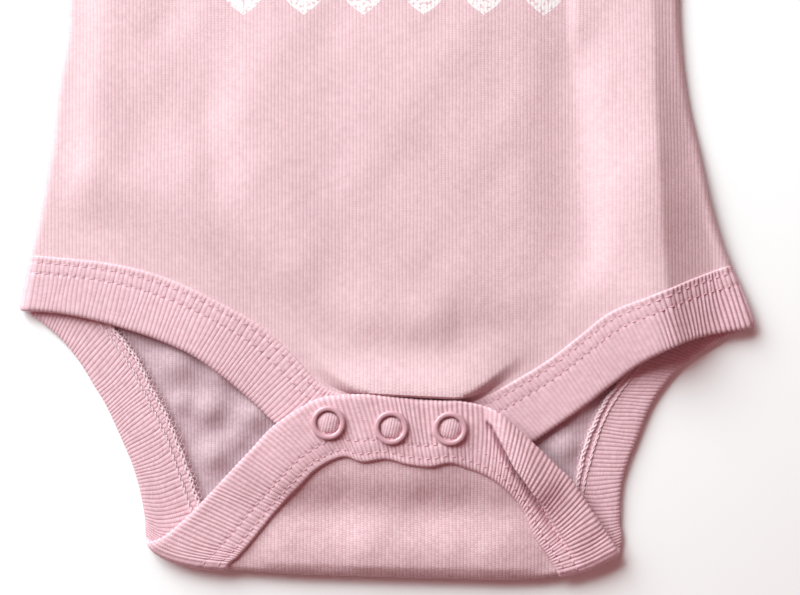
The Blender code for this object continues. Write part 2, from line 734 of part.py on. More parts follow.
def sleeve_tube(name, mirror, inner_line, outer_line, height, wall, stations, material):
    """A flattened tube from one line to another, each given by a function of 0 to 1.

    stations are pairs: the distance along, 0 to 1, and how much thinner each side is there.
    """
    section = list(SLEEVE_SECTION)
    under = reversed(SLEEVE_SECTION[1:-1])
    section += [(v, -min(h * FLATTER_BELOW, 1.0)) for v, h in under]
    width = (inner_line(0.0) - inner_line(1.0)).length
    points = []
    for along, thinner in stations:
        for trim in (thinner, wall - thinner):
            for v, h in section:
                v_in = trim / width + v * (1.0 - 2.0 * trim / width)
                point = inner_line(v_in).lerp(outer_line(v_in), along)
                z = 0.5 * height + (0.5 * height - trim) * h
                if h > 0.0:
                    z += SLEEVE_PUFF * math.sin(math.pi * v) * math.sin(math.pi * along)
                points.append((mirror * point.x, point.y, z))
    size = len(section)
    faces = []
    for s in range(len(stations) - 1):
        for ring in (0, 1):
            for k in range(size):
                a = (2 * s + ring) * size + k
                b = (2 * s + ring) * size + (k + 1) % size
                faces.append((a, b, b + 2 * size, a + 2 * size))
    for start in (0, 2 * (len(stations) - 1) * size):
        for k in range(size):
            a = start + k
            b = start + (k + 1) % size
            faces.append((a, b, b + size, a + size))
    obj = add_object(name, points, faces, material)
    face_out(obj.data)
    return obj


def make_sleeves(knit, binding):
    """Both short sleeves and the bindings of their hems."""

    def at_armhole(v):
        y = SLEEVE_CROWN_Y + (SLEEVE_AXIL_Y - SLEEVE_CROWN_Y) * v
        return Vector((armhole(y) + 2.0 * SEAM_GAP, y))

    def at_seam(v):
        return Vector(SLEEVE_SEAM_TOP).lerp(Vector(SLEEVE_SEAM_LOW), v)

    def at_hem(v):
        return Vector(SLEEVE_TOP).lerp(Vector(SLEEVE_LOW), v)

    def past_seam(v):
        along = at_hem(v) - at_seam(v)
        return at_seam(v) + along.normalized() * SEAM_GAP

    for name, mirror in (("left", -1.0), ("right", 1.0)):
        sleeve_tube(
            f"{name}_sleeve", mirror, at_armhole, at_seam,
            SLEEVE_HEIGHT, 2.0 * PANEL_HALF, SLEEVE_STATIONS, knit,
        )
        sleeve_tube(
            f"{name}_sleeve_binding", mirror, past_seam, at_hem,
            CUFF_HEIGHT, 2.0 * BAND_HALF, CUFF_STATIONS, binding,
        )


def make_snaps(material):
    """The open enamelled rings of the three snaps, on the flap's binding."""
    ring = RING_SECTION
    size = len(ring)
    middle = 0.25 * (RING_OUTER + RING_INNER)
    half_width = 0.25 * (RING_OUTER - RING_INNER)
    for number, (x, y) in enumerate(SNAPS, start=1):
        top = back_place(x, low_cut(x, y, "flap"), BAND_HALF).z + BAND_HALF
        points = []
        faces = []
        for s in range(RING_SIDES):
            turn = 2.0 * math.pi * s / RING_SIDES
            for across, up in ring:
                radius = middle + half_width * across
                z = top + SEAM_GAP + RING_HEIGHT * up
                points.append((x + radius * math.cos(turn), y + radius * math.sin(turn), z))
            for k in range(size):
                a = s * size + k
                b = s * size + (k + 1) % size
                c = ((s + 1) % RING_SIDES) * size + (k + 1) % size
                d = ((s + 1) % RING_SIDES) * size + k
                faces.append((a, b, c, d))
        obj = add_object(f"snap_ring_{number}", points, faces, material)
        face_out(obj.data)


def clear_scene():
    """Remove every object."""
    for obj in list(bpy.data.objects):
        bpy.data.objects.remove(obj, do_unlink=True)


def main():
    """Make the whole bodysuit."""
    clear_scene()
    knit = make_material("rib_knit", KNIT_PINK, 0.9)
    binding = make_material("ribbed_binding", BINDING_PINK, 0.9)
    enamel = make_material("pink_enamel", SNAP_PINK, 0.3, 0.2)
    make_back_panel(knit)
    make_front_panel(knit)
    make_bindings(binding)
    make_sleeves(knit, binding)
    make_snaps(enamel)


main()
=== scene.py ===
"""Short-sleeved baby bodysuit in fine rib knit, laid flat on its back: its cloth, sewing and snaps.

Each piece is a sheet of cloth in its flat cut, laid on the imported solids: the front on the back,
the back's crotch flap folded up over the front, and its lap shoulders folded forwards.
Tables and sizes are in millimetres. Meshes are made in metres, X across the chest, Y from the
crotch to the neck and Z up from the surface that the garment lies on.
"""

import math

import bmesh
import bpy
import numpy as np
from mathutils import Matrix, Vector
from mathutils.geometry import delaunay_2d_cdt


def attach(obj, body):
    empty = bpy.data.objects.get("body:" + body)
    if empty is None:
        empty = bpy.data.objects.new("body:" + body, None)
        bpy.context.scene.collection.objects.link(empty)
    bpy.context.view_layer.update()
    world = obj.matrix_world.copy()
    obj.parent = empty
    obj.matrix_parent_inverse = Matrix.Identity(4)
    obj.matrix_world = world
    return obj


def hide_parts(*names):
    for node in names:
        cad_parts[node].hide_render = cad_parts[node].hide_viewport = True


bl_info = {
    "name": "Baby bodysuit",
    "version": (1, 0, 0),
    "blender": (4, 5, 0),
    "location": "3D View > Sidebar > Bodysuit",
    "description": "Makes a short-sleeved rib knit bodysuit with its bindings, stitching and snaps",
    "category": "Object",
}

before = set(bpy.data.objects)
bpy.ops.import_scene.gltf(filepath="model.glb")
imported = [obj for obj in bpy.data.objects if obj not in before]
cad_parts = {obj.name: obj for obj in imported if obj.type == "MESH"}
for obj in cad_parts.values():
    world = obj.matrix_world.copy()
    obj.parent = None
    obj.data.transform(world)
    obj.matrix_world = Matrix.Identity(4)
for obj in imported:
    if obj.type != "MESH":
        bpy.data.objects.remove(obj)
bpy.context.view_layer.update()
MM = 0.001
BODY = "root"

# ================================================================ the cut and how it lies
PANEL_HALF = 0.6        # half the thickness of a panel of rib knit
BAND_HALF = 1.2         # half the thickness of the doubled binding
SIDE_INSET = 2.2        # how far inside the front the edge of the back lies at the side seam
LOW_FOLD_Y = -185.5     # middle of the cloth at the crotch fold
TOP_FOLD_Y = 185.5      # middle of the cloth at the shoulder folds
LOW_FOLD_RADIUS = 1.7
TOP_FOLD_RADIUS = 2.1
FOLD_FADE = 60.0        # how far from a fold its curve still moves the cloth
PANEL_ROLL = 2.2        # radius at which a panel turns down at the side seam
BAND_ROLL = 2.6         # and the binding at the hip

# y, left x, right x: the sides of the body
SIDES = (
    (-110.0, -113.5, 119.0),
    (-102.5, -111.0, 117.2),
    (-94.4, -109.4, 113.8),
    (-85.1, -107.6, 109.6),
    (-71.1, -104.5, 105.1),
    (-52.5, -101.4, 101.1),
    (-33.9, -99.2, 97.2),
    (-15.3, -96.4, 95.2),
    (20.0, -95.3, 95.3),
    (50.0, -95.6, 95.6),
    (82.0, -97.0, 97.0),
)
ARMPIT_Y = 82.0
LEFT_HIP_Y = -84.6
RIGHT_HIP_Y = -87.4

# y, distance from the centre line: the armhole seams
ARMHOLE = (
    (82.0, 97.0),
    (90.0, 90.5),
    (100.0, 85.0),
    (112.0, 81.0),
    (126.0, 78.5),
    (142.0, 77.2),
    (160.0, 77.0),
    (180.0, 77.0),
)

# x, how far the crotch fold rises towards its corners
FOLD_LIFT = (
    (-76.0, 15.5),
    (-70.7, 11.4),
    (-67.3, 8.3),
    (-63.5, 6.3),
    (-58.9, 4.9),
    (-54.2, 4.0),
    (-45.0, 3.2),
    (-30.0, 2.1),
    (0.0, 1.0),
    (25.0, 0.3),
    (42.0, 0.0),
    (52.7, 0.6),
    (58.9, 1.6),
    (63.5, 2.7),
    (68.2, 4.3),
    (72.2, 6.4),
    (76.0, 8.4),
    (80.0, 11.0),
)
# distance from the centre line, how far the shoulder slopes down
SHOULDER_DROP = (
    (0.0, 0.0),
    (44.0, 0.0),
    (60.0, 3.0),
    (78.0, 9.5),
    (100.0, 17.0),
)

# seam x, seam y, edge x, edge y: binding of the front's leg and crotch edges, left hip to right
FRONT_BAND = (
    (-107.8, -85.1, -111.2, -102.5),
    (-97.7, -86.0, -100.5, -103.0),
    (-85.2, -87.3, -89.0, -105.0),
    (-72.8, -89.7, -78.0, -108.0),
    (-60.5, -93.9, -67.0, -111.7),
    (-48.0, -100.0, -56.5, -116.5),
    (-35.6, -107.1, -47.0, -123.2),
    (-25.0, -116.5, -38.5, -130.4),
    (-17.1, -125.1, -30.5, -138.0),
    (-9.3, -128.8, -20.0, -146.0),
    (-1.0, -129.5, -5.0, -149.2),
    (8.0, -130.0, 8.0, -149.6),
    (18.0, -130.5, 22.0, -149.6),
    (27.0, -130.6, 36.0, -148.5),
    (34.5, -128.8, 47.0, -144.5),
    (43.0, -124.3, 55.5, -139.0),
    (54.0, -117.6, 64.5, -132.6),
    (63.5, -110.2, 73.5, -125.5),
    (72.9, -102.8, 82.2, -118.9),
    (85.0, -97.8, 91.5, -114.0),
    (97.7, -92.6, 101.0, -110.7),
    (111.0, -87.9, 118.6, -107.6),
)

# where it lies, seam x, seam y, edge x, edge y, roll: binding of the back's leg and flap edges,
# from the left hip, round the crotch fold, over the flap and back to the right hip
BACK_BAND = (
    ("floor", -104.0, -87.8, -107.3, -103.6, 0.0),
    ("floor", -97.7, -91.3, -102.6, -107.0, 0.0),
    ("floor", -88.3, -99.0, -96.6, -112.6, 0.0),
    ("floor", -79.5, -109.0, -90.3, -121.0, 0.0),
    ("floor", -72.8, -118.3, -84.6, -130.4, 0.0),
    ("floor", -66.7, -130.0, -79.8, -140.5, 0.0),
    ("floor", -61.5, -140.5, -76.0, -149.3, 0.0),
    ("floor", -57.4, -152.0, -73.6, -157.0, 0.0),
    ("floor", -53.4, -163.0, -71.9, -166.0, 0.0),
    ("fold", -46.5, 0.0, -70.9, 0.0, 0.0),
    ("flap", -42.4, -178.5, -64.8, -171.6, 0.0),
    ("flap", -38.7, -174.4, -57.5, -165.4, 0.0),
    ("flap", -29.9, -163.6, -47.5, -154.9, 0.0),
    ("flap", -23.3, -156.4, -38.6, -145.4, 0.0),
    ("flap", -17.2, -150.7, -31.0, -137.5, 0.0),
    ("flap", -9.6, -147.5, -19.5, -130.2, 0.0),
    ("flap", -3.8, -149.1, -11.2, -128.3, 0.0),
    ("flap", 3.4, -148.2, -1.2, -128.1, 0.0),
    ("flap", 9.8, -149.8, 6.2, -128.9, 0.0),
    ("flap", 16.8, -150.6, 13.6, -129.6, 0.0),
    ("flap", 22.8, -149.5, 20.6, -130.0, 0.0),
    ("flap", 28.4, -150.9, 27.2, -130.3, -5.0),
    ("flap", 35.5, -153.8, 37.5, -133.2, 2.2),
    ("flap", 41.5, -158.5, 47.0, -141.3, 4.2),
    ("flap", 45.9, -164.1, 55.5, -149.5, 4.0),
    ("flap", 49.5, -172.5, 63.5, -158.2, 2.0),
    ("fold", 57.4, 0.0, 76.0, 0.0, 0.0),
    ("floor", 60.5, -167.2, 76.3, -167.0, 0.0),
    ("floor", 62.2, -155.5, 77.2, -155.0, 0.0),
    ("floor", 66.0, -141.0, 81.5, -143.0, 0.0),
    ("floor", 70.8, -131.0, 86.0, -132.0, 0.0),
    ("floor", 76.0, -123.8, 91.0, -124.5, 0.0),
    ("floor", 83.5, -113.8, 97.5, -118.2, 0.0),
    ("floor", 92.5, -104.2, 104.5, -113.6, 0.0),
    ("floor", 101.5, -95.5, 110.0, -110.4, 0.0),
    ("floor", 108.0, -89.8, 114.3, -108.6, 0.0),
)

# seam x on the flap, share across the binding: the deep crease below the roll at the flap's right
CREASE = (
    (22.0, 0.4),
    (28.0, 0.76),
    (33.0, 0.76),
    (35.0, 0.7),
    (36.4, 0.6),
    (38.2, 0.5),
    (41.2, 0.37),
    (45.5, 0.31),
    (47.3, 0.33),
    (49.5, 0.33),
)
CREASE_REST = 0.4       # where its line runs along the rest of the binding

# seam x, seam y, edge x, edge y: binding of the front neck, from its middle to the armhole
FRONT_NECK = (
    (0.0, 137.0, 0.0, 149.0),
    (25.0, 140.0, 20.5, 151.2),
    (44.0, 148.5, 38.0, 159.0),
    (60.0, 156.5, 55.0, 167.5),
    (76.4, 161.5, 76.4, 172.0),
)

# seam x, seam past, edge x, edge past: binding of the back neck, from its middle to its end at
# the armhole, where "past" is measured along the cloth from the shoulder fold, forwards
BACK_NECK = (
    (0.0, -24.0, 0.0, -12.2),
    (20.0, -22.6, 17.0, -11.4),
    (38.0, -17.5, 31.0, -8.6),
    (50.0, -9.0, 40.0, -4.5),
    (58.5, 0.0, 46.5, 0.0),
    (64.5, 9.5, 54.0, 15.5),
    (70.5, 17.5, 65.0, 33.0),
    (76.4, 25.5, 77.2, 50.0),
)

# ---------------------------------------------------------------- how high the cloth lies
LAYER_Z = 2.7                   # middle of the front's cloth over the back's
HIP_LIFT = 1.2                  # more over the back binding
HIP_LIFT_MIDDLE = 9.0           # where across HIP_LIFT_X is measured from
HIP_LIFT_X = (40.0, 66.0)       # how far to each side it begins, and is whole
HIP_LIFT_Y = (-70.0, -40.0)     # where up the body it is whole, and ends
CROWN = 1.4                     # how far air holds the front up at its middle
CROWN_ABOVE_SEAM = (8.0, 28.0)  # where above the crotch seam it begins, and is whole
CROWN_NECK_Y = (95.0, 135.0)    # where it fades towards the neck
HOLLOW = 1.5                    # how far the front sinks between its middle and its bulge
HOLLOW_ABOVE_SEAM = 15.0
HOLLOW_REACH = 8.0
PUFF = 3.9                      # how far the front bulges over the snapped crotch seam
PUFF_X = 12.5                   # the middle of the bulge
PUFF_REACH = 27.0               # how far it reaches to each side
PUFF_START = 1.3                # where above the seam it begins, and is whole
PUFF_CREST = 3.1
PUFF_WALL_END = (12.0, 34.0)    # how far to each side it stands up like a wall, and lies down
PUFF_WALL_SPREAD = 4.5          # how much wider its rise is where it lies down
WALL_LEAN = (2.9, 1.3)          # where above the seam its wall leans over, and over what width
WALL_X = (-19.0, 44.0)          # between what xs the points of the wall follow the seam
WALL_BESIDE = (18.0, 14.0)      # how far to the left and right of them it is finely cut
WALL_TOP = 10.0                 # how far above the seam it is finely cut
PUFF_LIP = 1.1                  # more at its very edge
PUFF_LIP_FADE = 3.6
PUFF_LIP_REACH = 23.0
PUFF_FADE = 20.0                # and how far up it fades
FLAP_RISE = 0.8                 # how far the flap's binding lies above its fold
FLAP_RISE_RUN = (4.0, 30.0)
FLAP_PUFF = 1.7                 # how far the flap bulges just above its fold
FLAP_PUFF_X = 8.0
FLAP_PUFF_REACH = 42.0
FLAP_PUFF_START = 3.6
FLAP_PUFF_RUN = 6.5
FLAP_PUFF_FADE = 9.0
FLAP_LIP = 1.1                  # how far it rises again to its binding
FLAP_LIP_RUN = (17.0, 33.0)
FLAP_SAG = 1.9                  # and how far it sags between the two
FLAP_SAG_RUN = 21.6
FLAP_SAG_REACH = 8.0
FOLD_END = 0.45                 # how much more slowly a fold fades at its ends
SOFT_END = (0.84, 0.99)         # shares of the way to a side: where soft folds fade, and are gone

# name, x0, y0, x1, y1, left width, right width, rise: soft ridges and troughs of the front,
# each with its own slope to either side of its line
FRONT_FOLDS = (
    ("left_side_ridge", -86.0, 30.0, -88.0, -72.0, 9.0, 12.0, 1.3),
    ("left_trough", -64.0, -14.0, -54.0, -36.0, 7.0, 9.0, -0.9),
    ("middle_trough", -52.0, -42.0, -50.0, -58.0, 5.0, 6.0, -0.6),
    ("low_left_ridge", -34.0, -40.0, -26.0, -88.0, 12.0, 16.0, 0.5),
    ("right_trough", 61.0, -30.0, 66.0, -88.0, 13.0, 6.0, -3.0),
    ("right_ridge", 71.0, -40.0, 76.0, -78.0, 4.0, 9.0, 0.6),
    ("pucker_trough", 27.0, -110.0, 46.0, -114.0, 4.5, 4.5, -1.3),
    ("pucker_ridge", 37.0, -119.0, 46.0, -121.5, 4.0, 4.0, 1.3),
    ("left_pucker", -25.0, -113.0, -8.0, -121.5, 4.0, 4.0, 0.9),
    ("chest_ridge", -30.0, 96.0, -10.0, 30.0, 14.0, 14.0, 0.8),
    ("chest_trough", 22.0, 104.0, 34.0, 42.0, 10.0, 10.0, -0.6),
    ("shoulder_trough", -58.0, 122.0, -40.0, 70.0, 9.0, 7.0, -0.5),
)
# y, x, rise, width of its left slope, reach of its right one: the fold that breaks off in a
# step down the right side and runs on through the binding
SIDE_STEP = (
    (-122.0, 95.0, 4.6, 13.0, 11.0),
    (-113.0, 92.4, 5.6, 14.0, 14.0),
    (-99.0, 89.8, 6.0, 16.0, 16.0),
    (-89.0, 88.8, 6.0, 16.0, 15.5),
    (-53.5, 86.7, 5.0, 16.0, 12.0),
    (-6.0, 85.6, 2.0, 15.0, 8.0),
    (30.0, 85.0, 1.0, 14.0, 8.0),
    (70.0, 84.5, 0.0, 13.0, 8.0),
)
STEP_CREST = 0.5                # how round the step's edge is
STEP_BEND = 1.35                # how much steeper its right slope begins than it ends
# length along x, length along y, turn, rise: slow waves that keep the cloth from lying dead flat
CLOTH_WAVES = (
    (46.0, 71.0, 0.4, 0.24),
    (29.0, 38.0, 1.9, 0.15),
    (17.0, 24.0, 3.1, 0.07),
)
# x, y, radius, rise: where the inside of the back lifts off the surface in the leg openings
INSIDE_FOLDS = (
    (-62.0, -119.0, 6.0, 1.9),
    (-47.0, -121.0, 4.6, 1.9),
    (-51.5, -133.0, 4.2, 2.3),
    (-38.0, -135.0, 4.2, 2.0),
    (-50.0, -147.5, 4.2, 2.2),
    (-60.0, -131.0, 3.4, 1.4),
    (-43.0, -142.0, 3.2, 1.2),
    (62.0, -131.0, 4.6, 2.0),
    (59.5, -144.5, 4.0, 1.8),
)

# ---------------------------------------------------------------- sleeves
SLEEVE_TOP = (140.0, 150.5)         # outer corners of the right sleeve's hem
SLEEVE_LOW = (115.5, 89.5)
SLEEVE_SEAM_TOP = (128.9, 155.0)    # ends of the seam between sleeve and binding
SLEEVE_SEAM_LOW = (104.3, 85.3)
SLEEVE_AXIL_Y = 82.8                # the sleeve's armhole edge, from the armpit
SLEEVE_CROWN_Y = 174.4              # to the shoulder
SLEEVE_HEIGHT = 4.6
SLEEVE_PUFF = 1.6                   # more at the middle of the sleeve's upper side
CUFF_HEIGHT = 5.6
CUFF_RIBS = 108
# shares across a sleeve's binding: where its points lie, and where its stitched part begins and ends
CUFF_SHARES = (0.0, 0.04, 0.09, 0.12, 0.2, 0.3, 0.37, 0.41, 0.5, 0.65, 0.8, 0.9, 0.96, 1.0)
CUFF_SEWN_FROM = (0.04, 0.1)
CUFF_SEWN_TO = (0.39, 0.44)
CUFF_ROW_WIDTH = 0.04

# ---------------------------------------------------------------- snaps
SNAPS = ((-14.4, -136.9), (5.0, -138.4), (23.2, -138.7))
RING_OUTER = 10.5
RING_INNER = 7.3
RING_HEIGHT = 1.5
RING_SUNK = 0.35                # how far a ring is pressed into the binding
RING_ROUNDING = 0.62
BULGE_SHARES = (1.0, 0.97, 0.9, 0.78, 0.62, 0.44, 0.24, 0.08)   # its circles of points, inwards
BULGE_RADIUS = 3.5              # of the knit that bulges through a ring
BULGE_HEIGHT = 1.05
BULGE_SUNK = 0.25               # how far its rim lies below the binding's surface
BULGE_TURN = 0.2                # how far its knit is turned
SNAP_PITCHES = (0.9, 0.6)       # of its ribs and loops, stretched by the ring
PRONGS = 5
PRONG_PULL = 0.075              # how far a prong pulls its rim in

# ---------------------------------------------------------------- sewing
STITCH_ROWS = (0.12, 0.31)      # across a binding from its seam: the two rows of stitches
INSIDE_ROWS = (0.05, 0.2)       # and the rows of the looper thread inside
RIB_DEPTH = 0.12                # how deep the grooves of a binding are
# share along it, depth: where the binding is stretched its ribs flatten, and beyond the step at
# the right hip they stand open
FRONT_LEG_DEPTHS = ((0.0, 0.04), (0.35, 0.07), (0.55, 0.15), (0.87, 0.18), (0.9, 0.6), (1.0, 0.55))
BACK_LEG_DEPTHS = ((0.0, 0.08), (0.24, 0.08), (0.3, 0.16), (0.7, 0.16), (0.76, 0.1), (1.0, 0.1))
# share along it, narrowness of its ribs' crests
FRONT_LEG_CRESTS = ((0.0, 0.5), (0.45, 0.6), (0.8, 1.15), (1.0, 1.15))
BACK_LEG_CRESTS = ((0.0, 0.6), (0.24, 0.6), (0.3, 1.4), (0.7, 1.4), (0.76, 0.8), (1.0, 0.8))
FLAP_SHARE = (0.278, 0.728)     # where along the back's leg binding the flap's part of it is
STITCH_SINK = 0.2               # how far a row of stitches pulls the binding in
ROW_SINK = 0.4                  # shares of it: all along a row, and more at the row's holes
HOLE_SINK = 1.1
ROW_WIDTH = 0.026               # width of a row, as a share across the binding
RIB_PHASES = (0.0, 0.13, 0.31, 0.5, 0.69, 0.87)     # where along each rib's pitch its points lie
RIB_SWAY = 0.3                  # how far the ribs wander along a binding, and over what length
RIB_SWAY_LENGTH = 31.0
RIB_SHIVER = 0.16               # and a shorter wander
RIB_SHIVER_LENGTH = 12.3
END_STILL = 6.0                 # how near to a binding's ends both fade

# shares across the binding, from its crease: the section of the flap's roll
ROLL_RISE = (0.03, 0.12)        # where it begins, and is whole
ROLL_FALL = (0.26, 0.68)        # where it begins to fall, and has fallen by ROLL_DROP
ROLL_DROP = 0.62
ROLL_HEIGHT = 1.05              # its height, for a roll of 1
CREASE_DEPTH = 0.8              # the depth of its crease, for a roll of 1
CREASE_MIDDLE = 0.015
CREASE_WIDTHS = (0.08, 0.035)   # before its middle, and past it
EDGE_SLIDE = 0.004              # how far cloth slides towards the folded edge, for a roll of 1
EDGE_SLIDE_AT = (0.0, 0.05)     # the middle and width of where it does
SEAM_SLIDE = 0.022              # and towards the seam
SEAM_SLIDE_AT = (0.12, 0.06)

# ---------------------------------------------------------------- colour and light
KNIT_TONES = (0.92, 1.06)       # the slow changes of the knit's brightness
INK_COLOUR = (0.86, 0.85, 0.85)
INK_COVER = 0.92                # how far the ink hides the knit
LAMP_COLOUR = (0.9, 1.0, 1.0)
ROOM_COLOUR = (1.0, 0.4, 0.4, 1.0)
SENSOR_WIDTH = 36.0
VIEW_Z = 0.004                  # metres: the height at which the view has its stated width
# name, size, place from the middle of the view: the soft lights, in metres
LAMPS = (
    ("window", 0.96, (-0.85, 0.8, 0.7)),
    ("top_light", 0.45, (-0.15, 0.48, 0.36)),
)

SLACK = 0.5 * math.pi - 1.0
LOW_LINE = LOW_FOLD_Y - SLACK * LOW_FOLD_RADIUS     # the crotch fold in the back's flat cut
TOP_LINE = TOP_FOLD_Y + SLACK * TOP_FOLD_RADIUS     # the shoulder fold in the back's flat cut


# ================================================================ curves
def smooth_step(low, high, value):
    """0 below low, 1 above high, and an S curve between."""
    t = np.clip((value - low) / (high - low), 0.0, 1.0)
    return t * t * (3.0 - 2.0 * t)


def bell(value, middle, width):
    """1 at the middle, and fading to 0 to both sides."""
    return np.exp(-(((value - middle) / width) ** 2))


def smooth_curve(table, column):
    """A function that reads a table's column at values of its first, on a smooth curve."""
    rows = np.asarray([[float(cell) for cell in row[:column + 1]] for row in table])
    xs = rows[:, 0]
    ys = rows[:, column]
    slopes = np.gradient(ys, xs)

    def read(value):
        at = np.clip(value, xs[0], xs[-1])
        i = np.clip(np.searchsorted(xs, at) - 1, 0, len(xs) - 2)
        gap = xs[i + 1] - xs[i]
        t = (at - xs[i]) / gap
        start = (1.0 + 2.0 * t) * (1.0 - t) ** 2
        leave = t * (1.0 - t) ** 2 * gap
        arrive = t * t * (t - 1.0) * gap
        return start * ys[i] + (1.0 - start) * ys[i + 1] + leave * slopes[i] + arrive * slopes[i + 1]

    return read


def through(rows, count):
    """This many rows, evenly along a smooth curve through a table's rows."""
    rows = np.asarray(rows, dtype=float)
    positions = np.linspace(0.0, len(rows) - 1.0, count)
    rows = np.vstack((2.0 * rows[0] - rows[1], rows, 2.0 * rows[-1] - rows[-2]))
    i = np.minimum(positions.astype(int), len(rows) - 4) + 1
    t = (positions - (i - 1))[:, None]
    before, p, q, after = rows[i - 1], rows[i], rows[i + 1], rows[i + 2]
    return 0.5 * (
        2.0 * p
        + (q - before) * t
        + (2.0 * before - 5.0 * p + 4.0 * q - after) * t * t
        + (3.0 * p - before - 3.0 * q + after) * t ** 3
    )


def mirrored(rows):
    """A table's rows on the left, in reverse, then on the right, with the middle row once."""
    left = [(-r[0], r[1], -r[2], r[3]) for r in reversed(rows[1:])]
    return left + list(rows)


def inset(curve, gap):
    """A curve's points, moved to the left of its direction by a gap."""
    points = np.asarray(curve, dtype=float)
    ahead = np.gradient(points, axis=0)
    ahead /= np.hypot(ahead[:, 0], ahead[:, 1])[:, None]
    return points + gap * np.stack((-ahead[:, 1], ahead[:, 0]), axis=1)


side_left = smooth_curve(SIDES, 1)
side_right = smooth_curve(SIDES, 2)
armhole = smooth_curve(ARMHOLE, 1)
fold_lift = smooth_curve(FOLD_LIFT, 1)
shoulder_drop = smooth_curve(SHOULDER_DROP, 1)
front_seam = smooth_curve(FRONT_BAND, 1)
step_line, step_rise, step_left, step_right = (smooth_curve(SIDE_STEP, k) for k in range(1, 5))


# ================================================================ where the cloth lies
def body_middle(y):
    """The middle of the body at a height."""
    return 0.5 * (side_left(y) + side_right(y))


def body_reach(y):
    """Half the body's width at a height."""
    return 0.5 * (side_right(y) - side_left(y))


def fold_rise(table, x, y):
    """The rise of a table's ridges, less the depth of its troughs."""
    total = np.zeros(np.broadcast(x, y).shape)
    for _name, x0, y0, x1, y1, left, right, rise in table:
        dx, dy = x1 - x0, y1 - y0
        t = np.clip(((x - x0) * dx + (y - y0) * dy) / (dx * dx + dy * dy), 0.0, 1.0)
        side = x - x0 - t * dx
        off = np.hypot(side, (y - y0 - t * dy) * FOLD_END)
        total += rise * np.exp(-((off / np.where(side < 0.0, left, right)) ** 2))
    return total


def side_step(x, y):
    """The height of the fold that ends in a step down the right side."""
    off = x - step_line(y)
    before = np.exp(-((off / step_left(y)) ** 2))
    past = (np.hypot(off, STEP_CREST) - STEP_CREST) / step_right(y)
    after = np.maximum(1.0 - past, 0.0) ** STEP_BEND
    return step_rise(y) * np.where(off < 0.0, before, after)


def cloth_waves(x, y):
    """The slow waves of cloth that lies loose."""
    total = np.zeros(np.broadcast(x, y).shape)
    for along_x, along_y, turn, rise in CLOTH_WAVES:
        total += rise * np.sin(2.0 * np.pi * x / along_x + turn + np.sin(2.0 * np.pi * y / along_y))
    return total


def wall_end(x):
    """0 where the front's bulge stands up like a wall from its seam, and 1 where it lies down."""
    return smooth_step(*PUFF_WALL_END, np.abs(x - PUFF_X))


def front_height(x, y):
    """The middle of the front's cloth above the surface."""
    across = np.minimum(np.abs(x - body_middle(y)) / body_reach(y), 1.0)
    inside = 1.0 - smooth_step(*SOFT_END, across)
    below = 1.0 - smooth_step(*HIP_LIFT_Y, y)
    lift = HIP_LIFT * smooth_step(*HIP_LIFT_X, np.abs(x - HIP_LIFT_MIDDLE)) * below
    above_seam = y - front_seam(x)
    clear = smooth_step(*CROWN_ABOVE_SEAM, above_seam) * (1.0 - smooth_step(*CROWN_NECK_Y, y))
    crown = CROWN * (1.0 - across ** 2) * clear
    near = np.exp(-(((x - PUFF_X) / PUFF_REACH) ** 4))
    far = np.maximum(above_seam - PUFF_CREST, 0.0) / PUFF_FADE
    beside = ((x - PUFF_X) / PUFF_LIP_REACH) ** 4
    lip = PUFF_LIP * np.exp(-far * PUFF_FADE / PUFF_LIP_FADE - beside)
    whole = PUFF_CREST + PUFF_WALL_SPREAD * wall_end(x)
    bulge = (PUFF * near * np.exp(-far * far) + lip) * smooth_step(PUFF_START, whole, above_seam)
    bulge -= HOLLOW * near * bell(above_seam, HOLLOW_ABOVE_SEAM, HOLLOW_REACH)
    soft = (fold_rise(FRONT_FOLDS, x, y) + cloth_waves(x, y)) * clear
    return LAYER_Z + lift + crown + bulge + soft * inside + side_step(x, y)


def front_place(x, y, half, roll):
    """Points of the front's flat cut, laid on the back and turned down at the sides."""
    middle = body_middle(y)
    flat = body_reach(y) - half - roll
    off = x - middle
    turn = np.clip((np.abs(off) - flat) / roll, 0.0, 0.5 * np.pi)
    turned = middle + np.copysign(flat + roll * np.sin(turn), off)
    out = np.where(np.abs(off) <= flat, x, turned)
    z = front_height(out, y) - roll * (1.0 - np.cos(turn))
    return np.stack((out, y + 0.0 * out, z), axis=-1)


def front_cut_half(y):
    """Half the width of the front's flat cut at a height."""
    return body_reach(y) - PANEL_HALF - PANEL_ROLL + 0.5 * np.pi * PANEL_ROLL


def fold_over(past, radius):
    """How far back and how high a fold carries points that lie this far past its middle."""
    turn = np.clip(past / radius, -0.5 * np.pi, 0.5 * np.pi)
    beyond = np.maximum(np.abs(past) - 0.5 * np.pi * radius, 0.0)
    return radius * (1.0 - np.cos(turn)) + beyond, radius * (1.0 + np.sin(turn))


def low_cut(x, y, where):
    """Where points that lie at x, y near the crotch are along the back's flat cut."""
    if where == "fold":
        return LOW_LINE + 0.0 * x
    lift = fold_lift(x)
    run = (y - LOW_FOLD_Y - lift) / (1.0 - lift / FOLD_FADE)
    run = np.where(run > FOLD_FADE, y - LOW_FOLD_Y, run)
    past = run + SLACK * LOW_FOLD_RADIUS
    return LOW_LINE - past if where == "flap" else LOW_LINE + past


def top_cut(x, y, where):
    """Where points that lie at x, y near a shoulder are along the back's flat cut."""
    drop = shoulder_drop(np.abs(x))
    run = (TOP_FOLD_Y - y - drop) / (1.0 - drop / FOLD_FADE)
    run = np.where(run > FOLD_FADE, TOP_FOLD_Y - y, run)
    past = run + SLACK * TOP_FOLD_RADIUS
    return TOP_LINE + past if where == "lap" else TOP_LINE - past


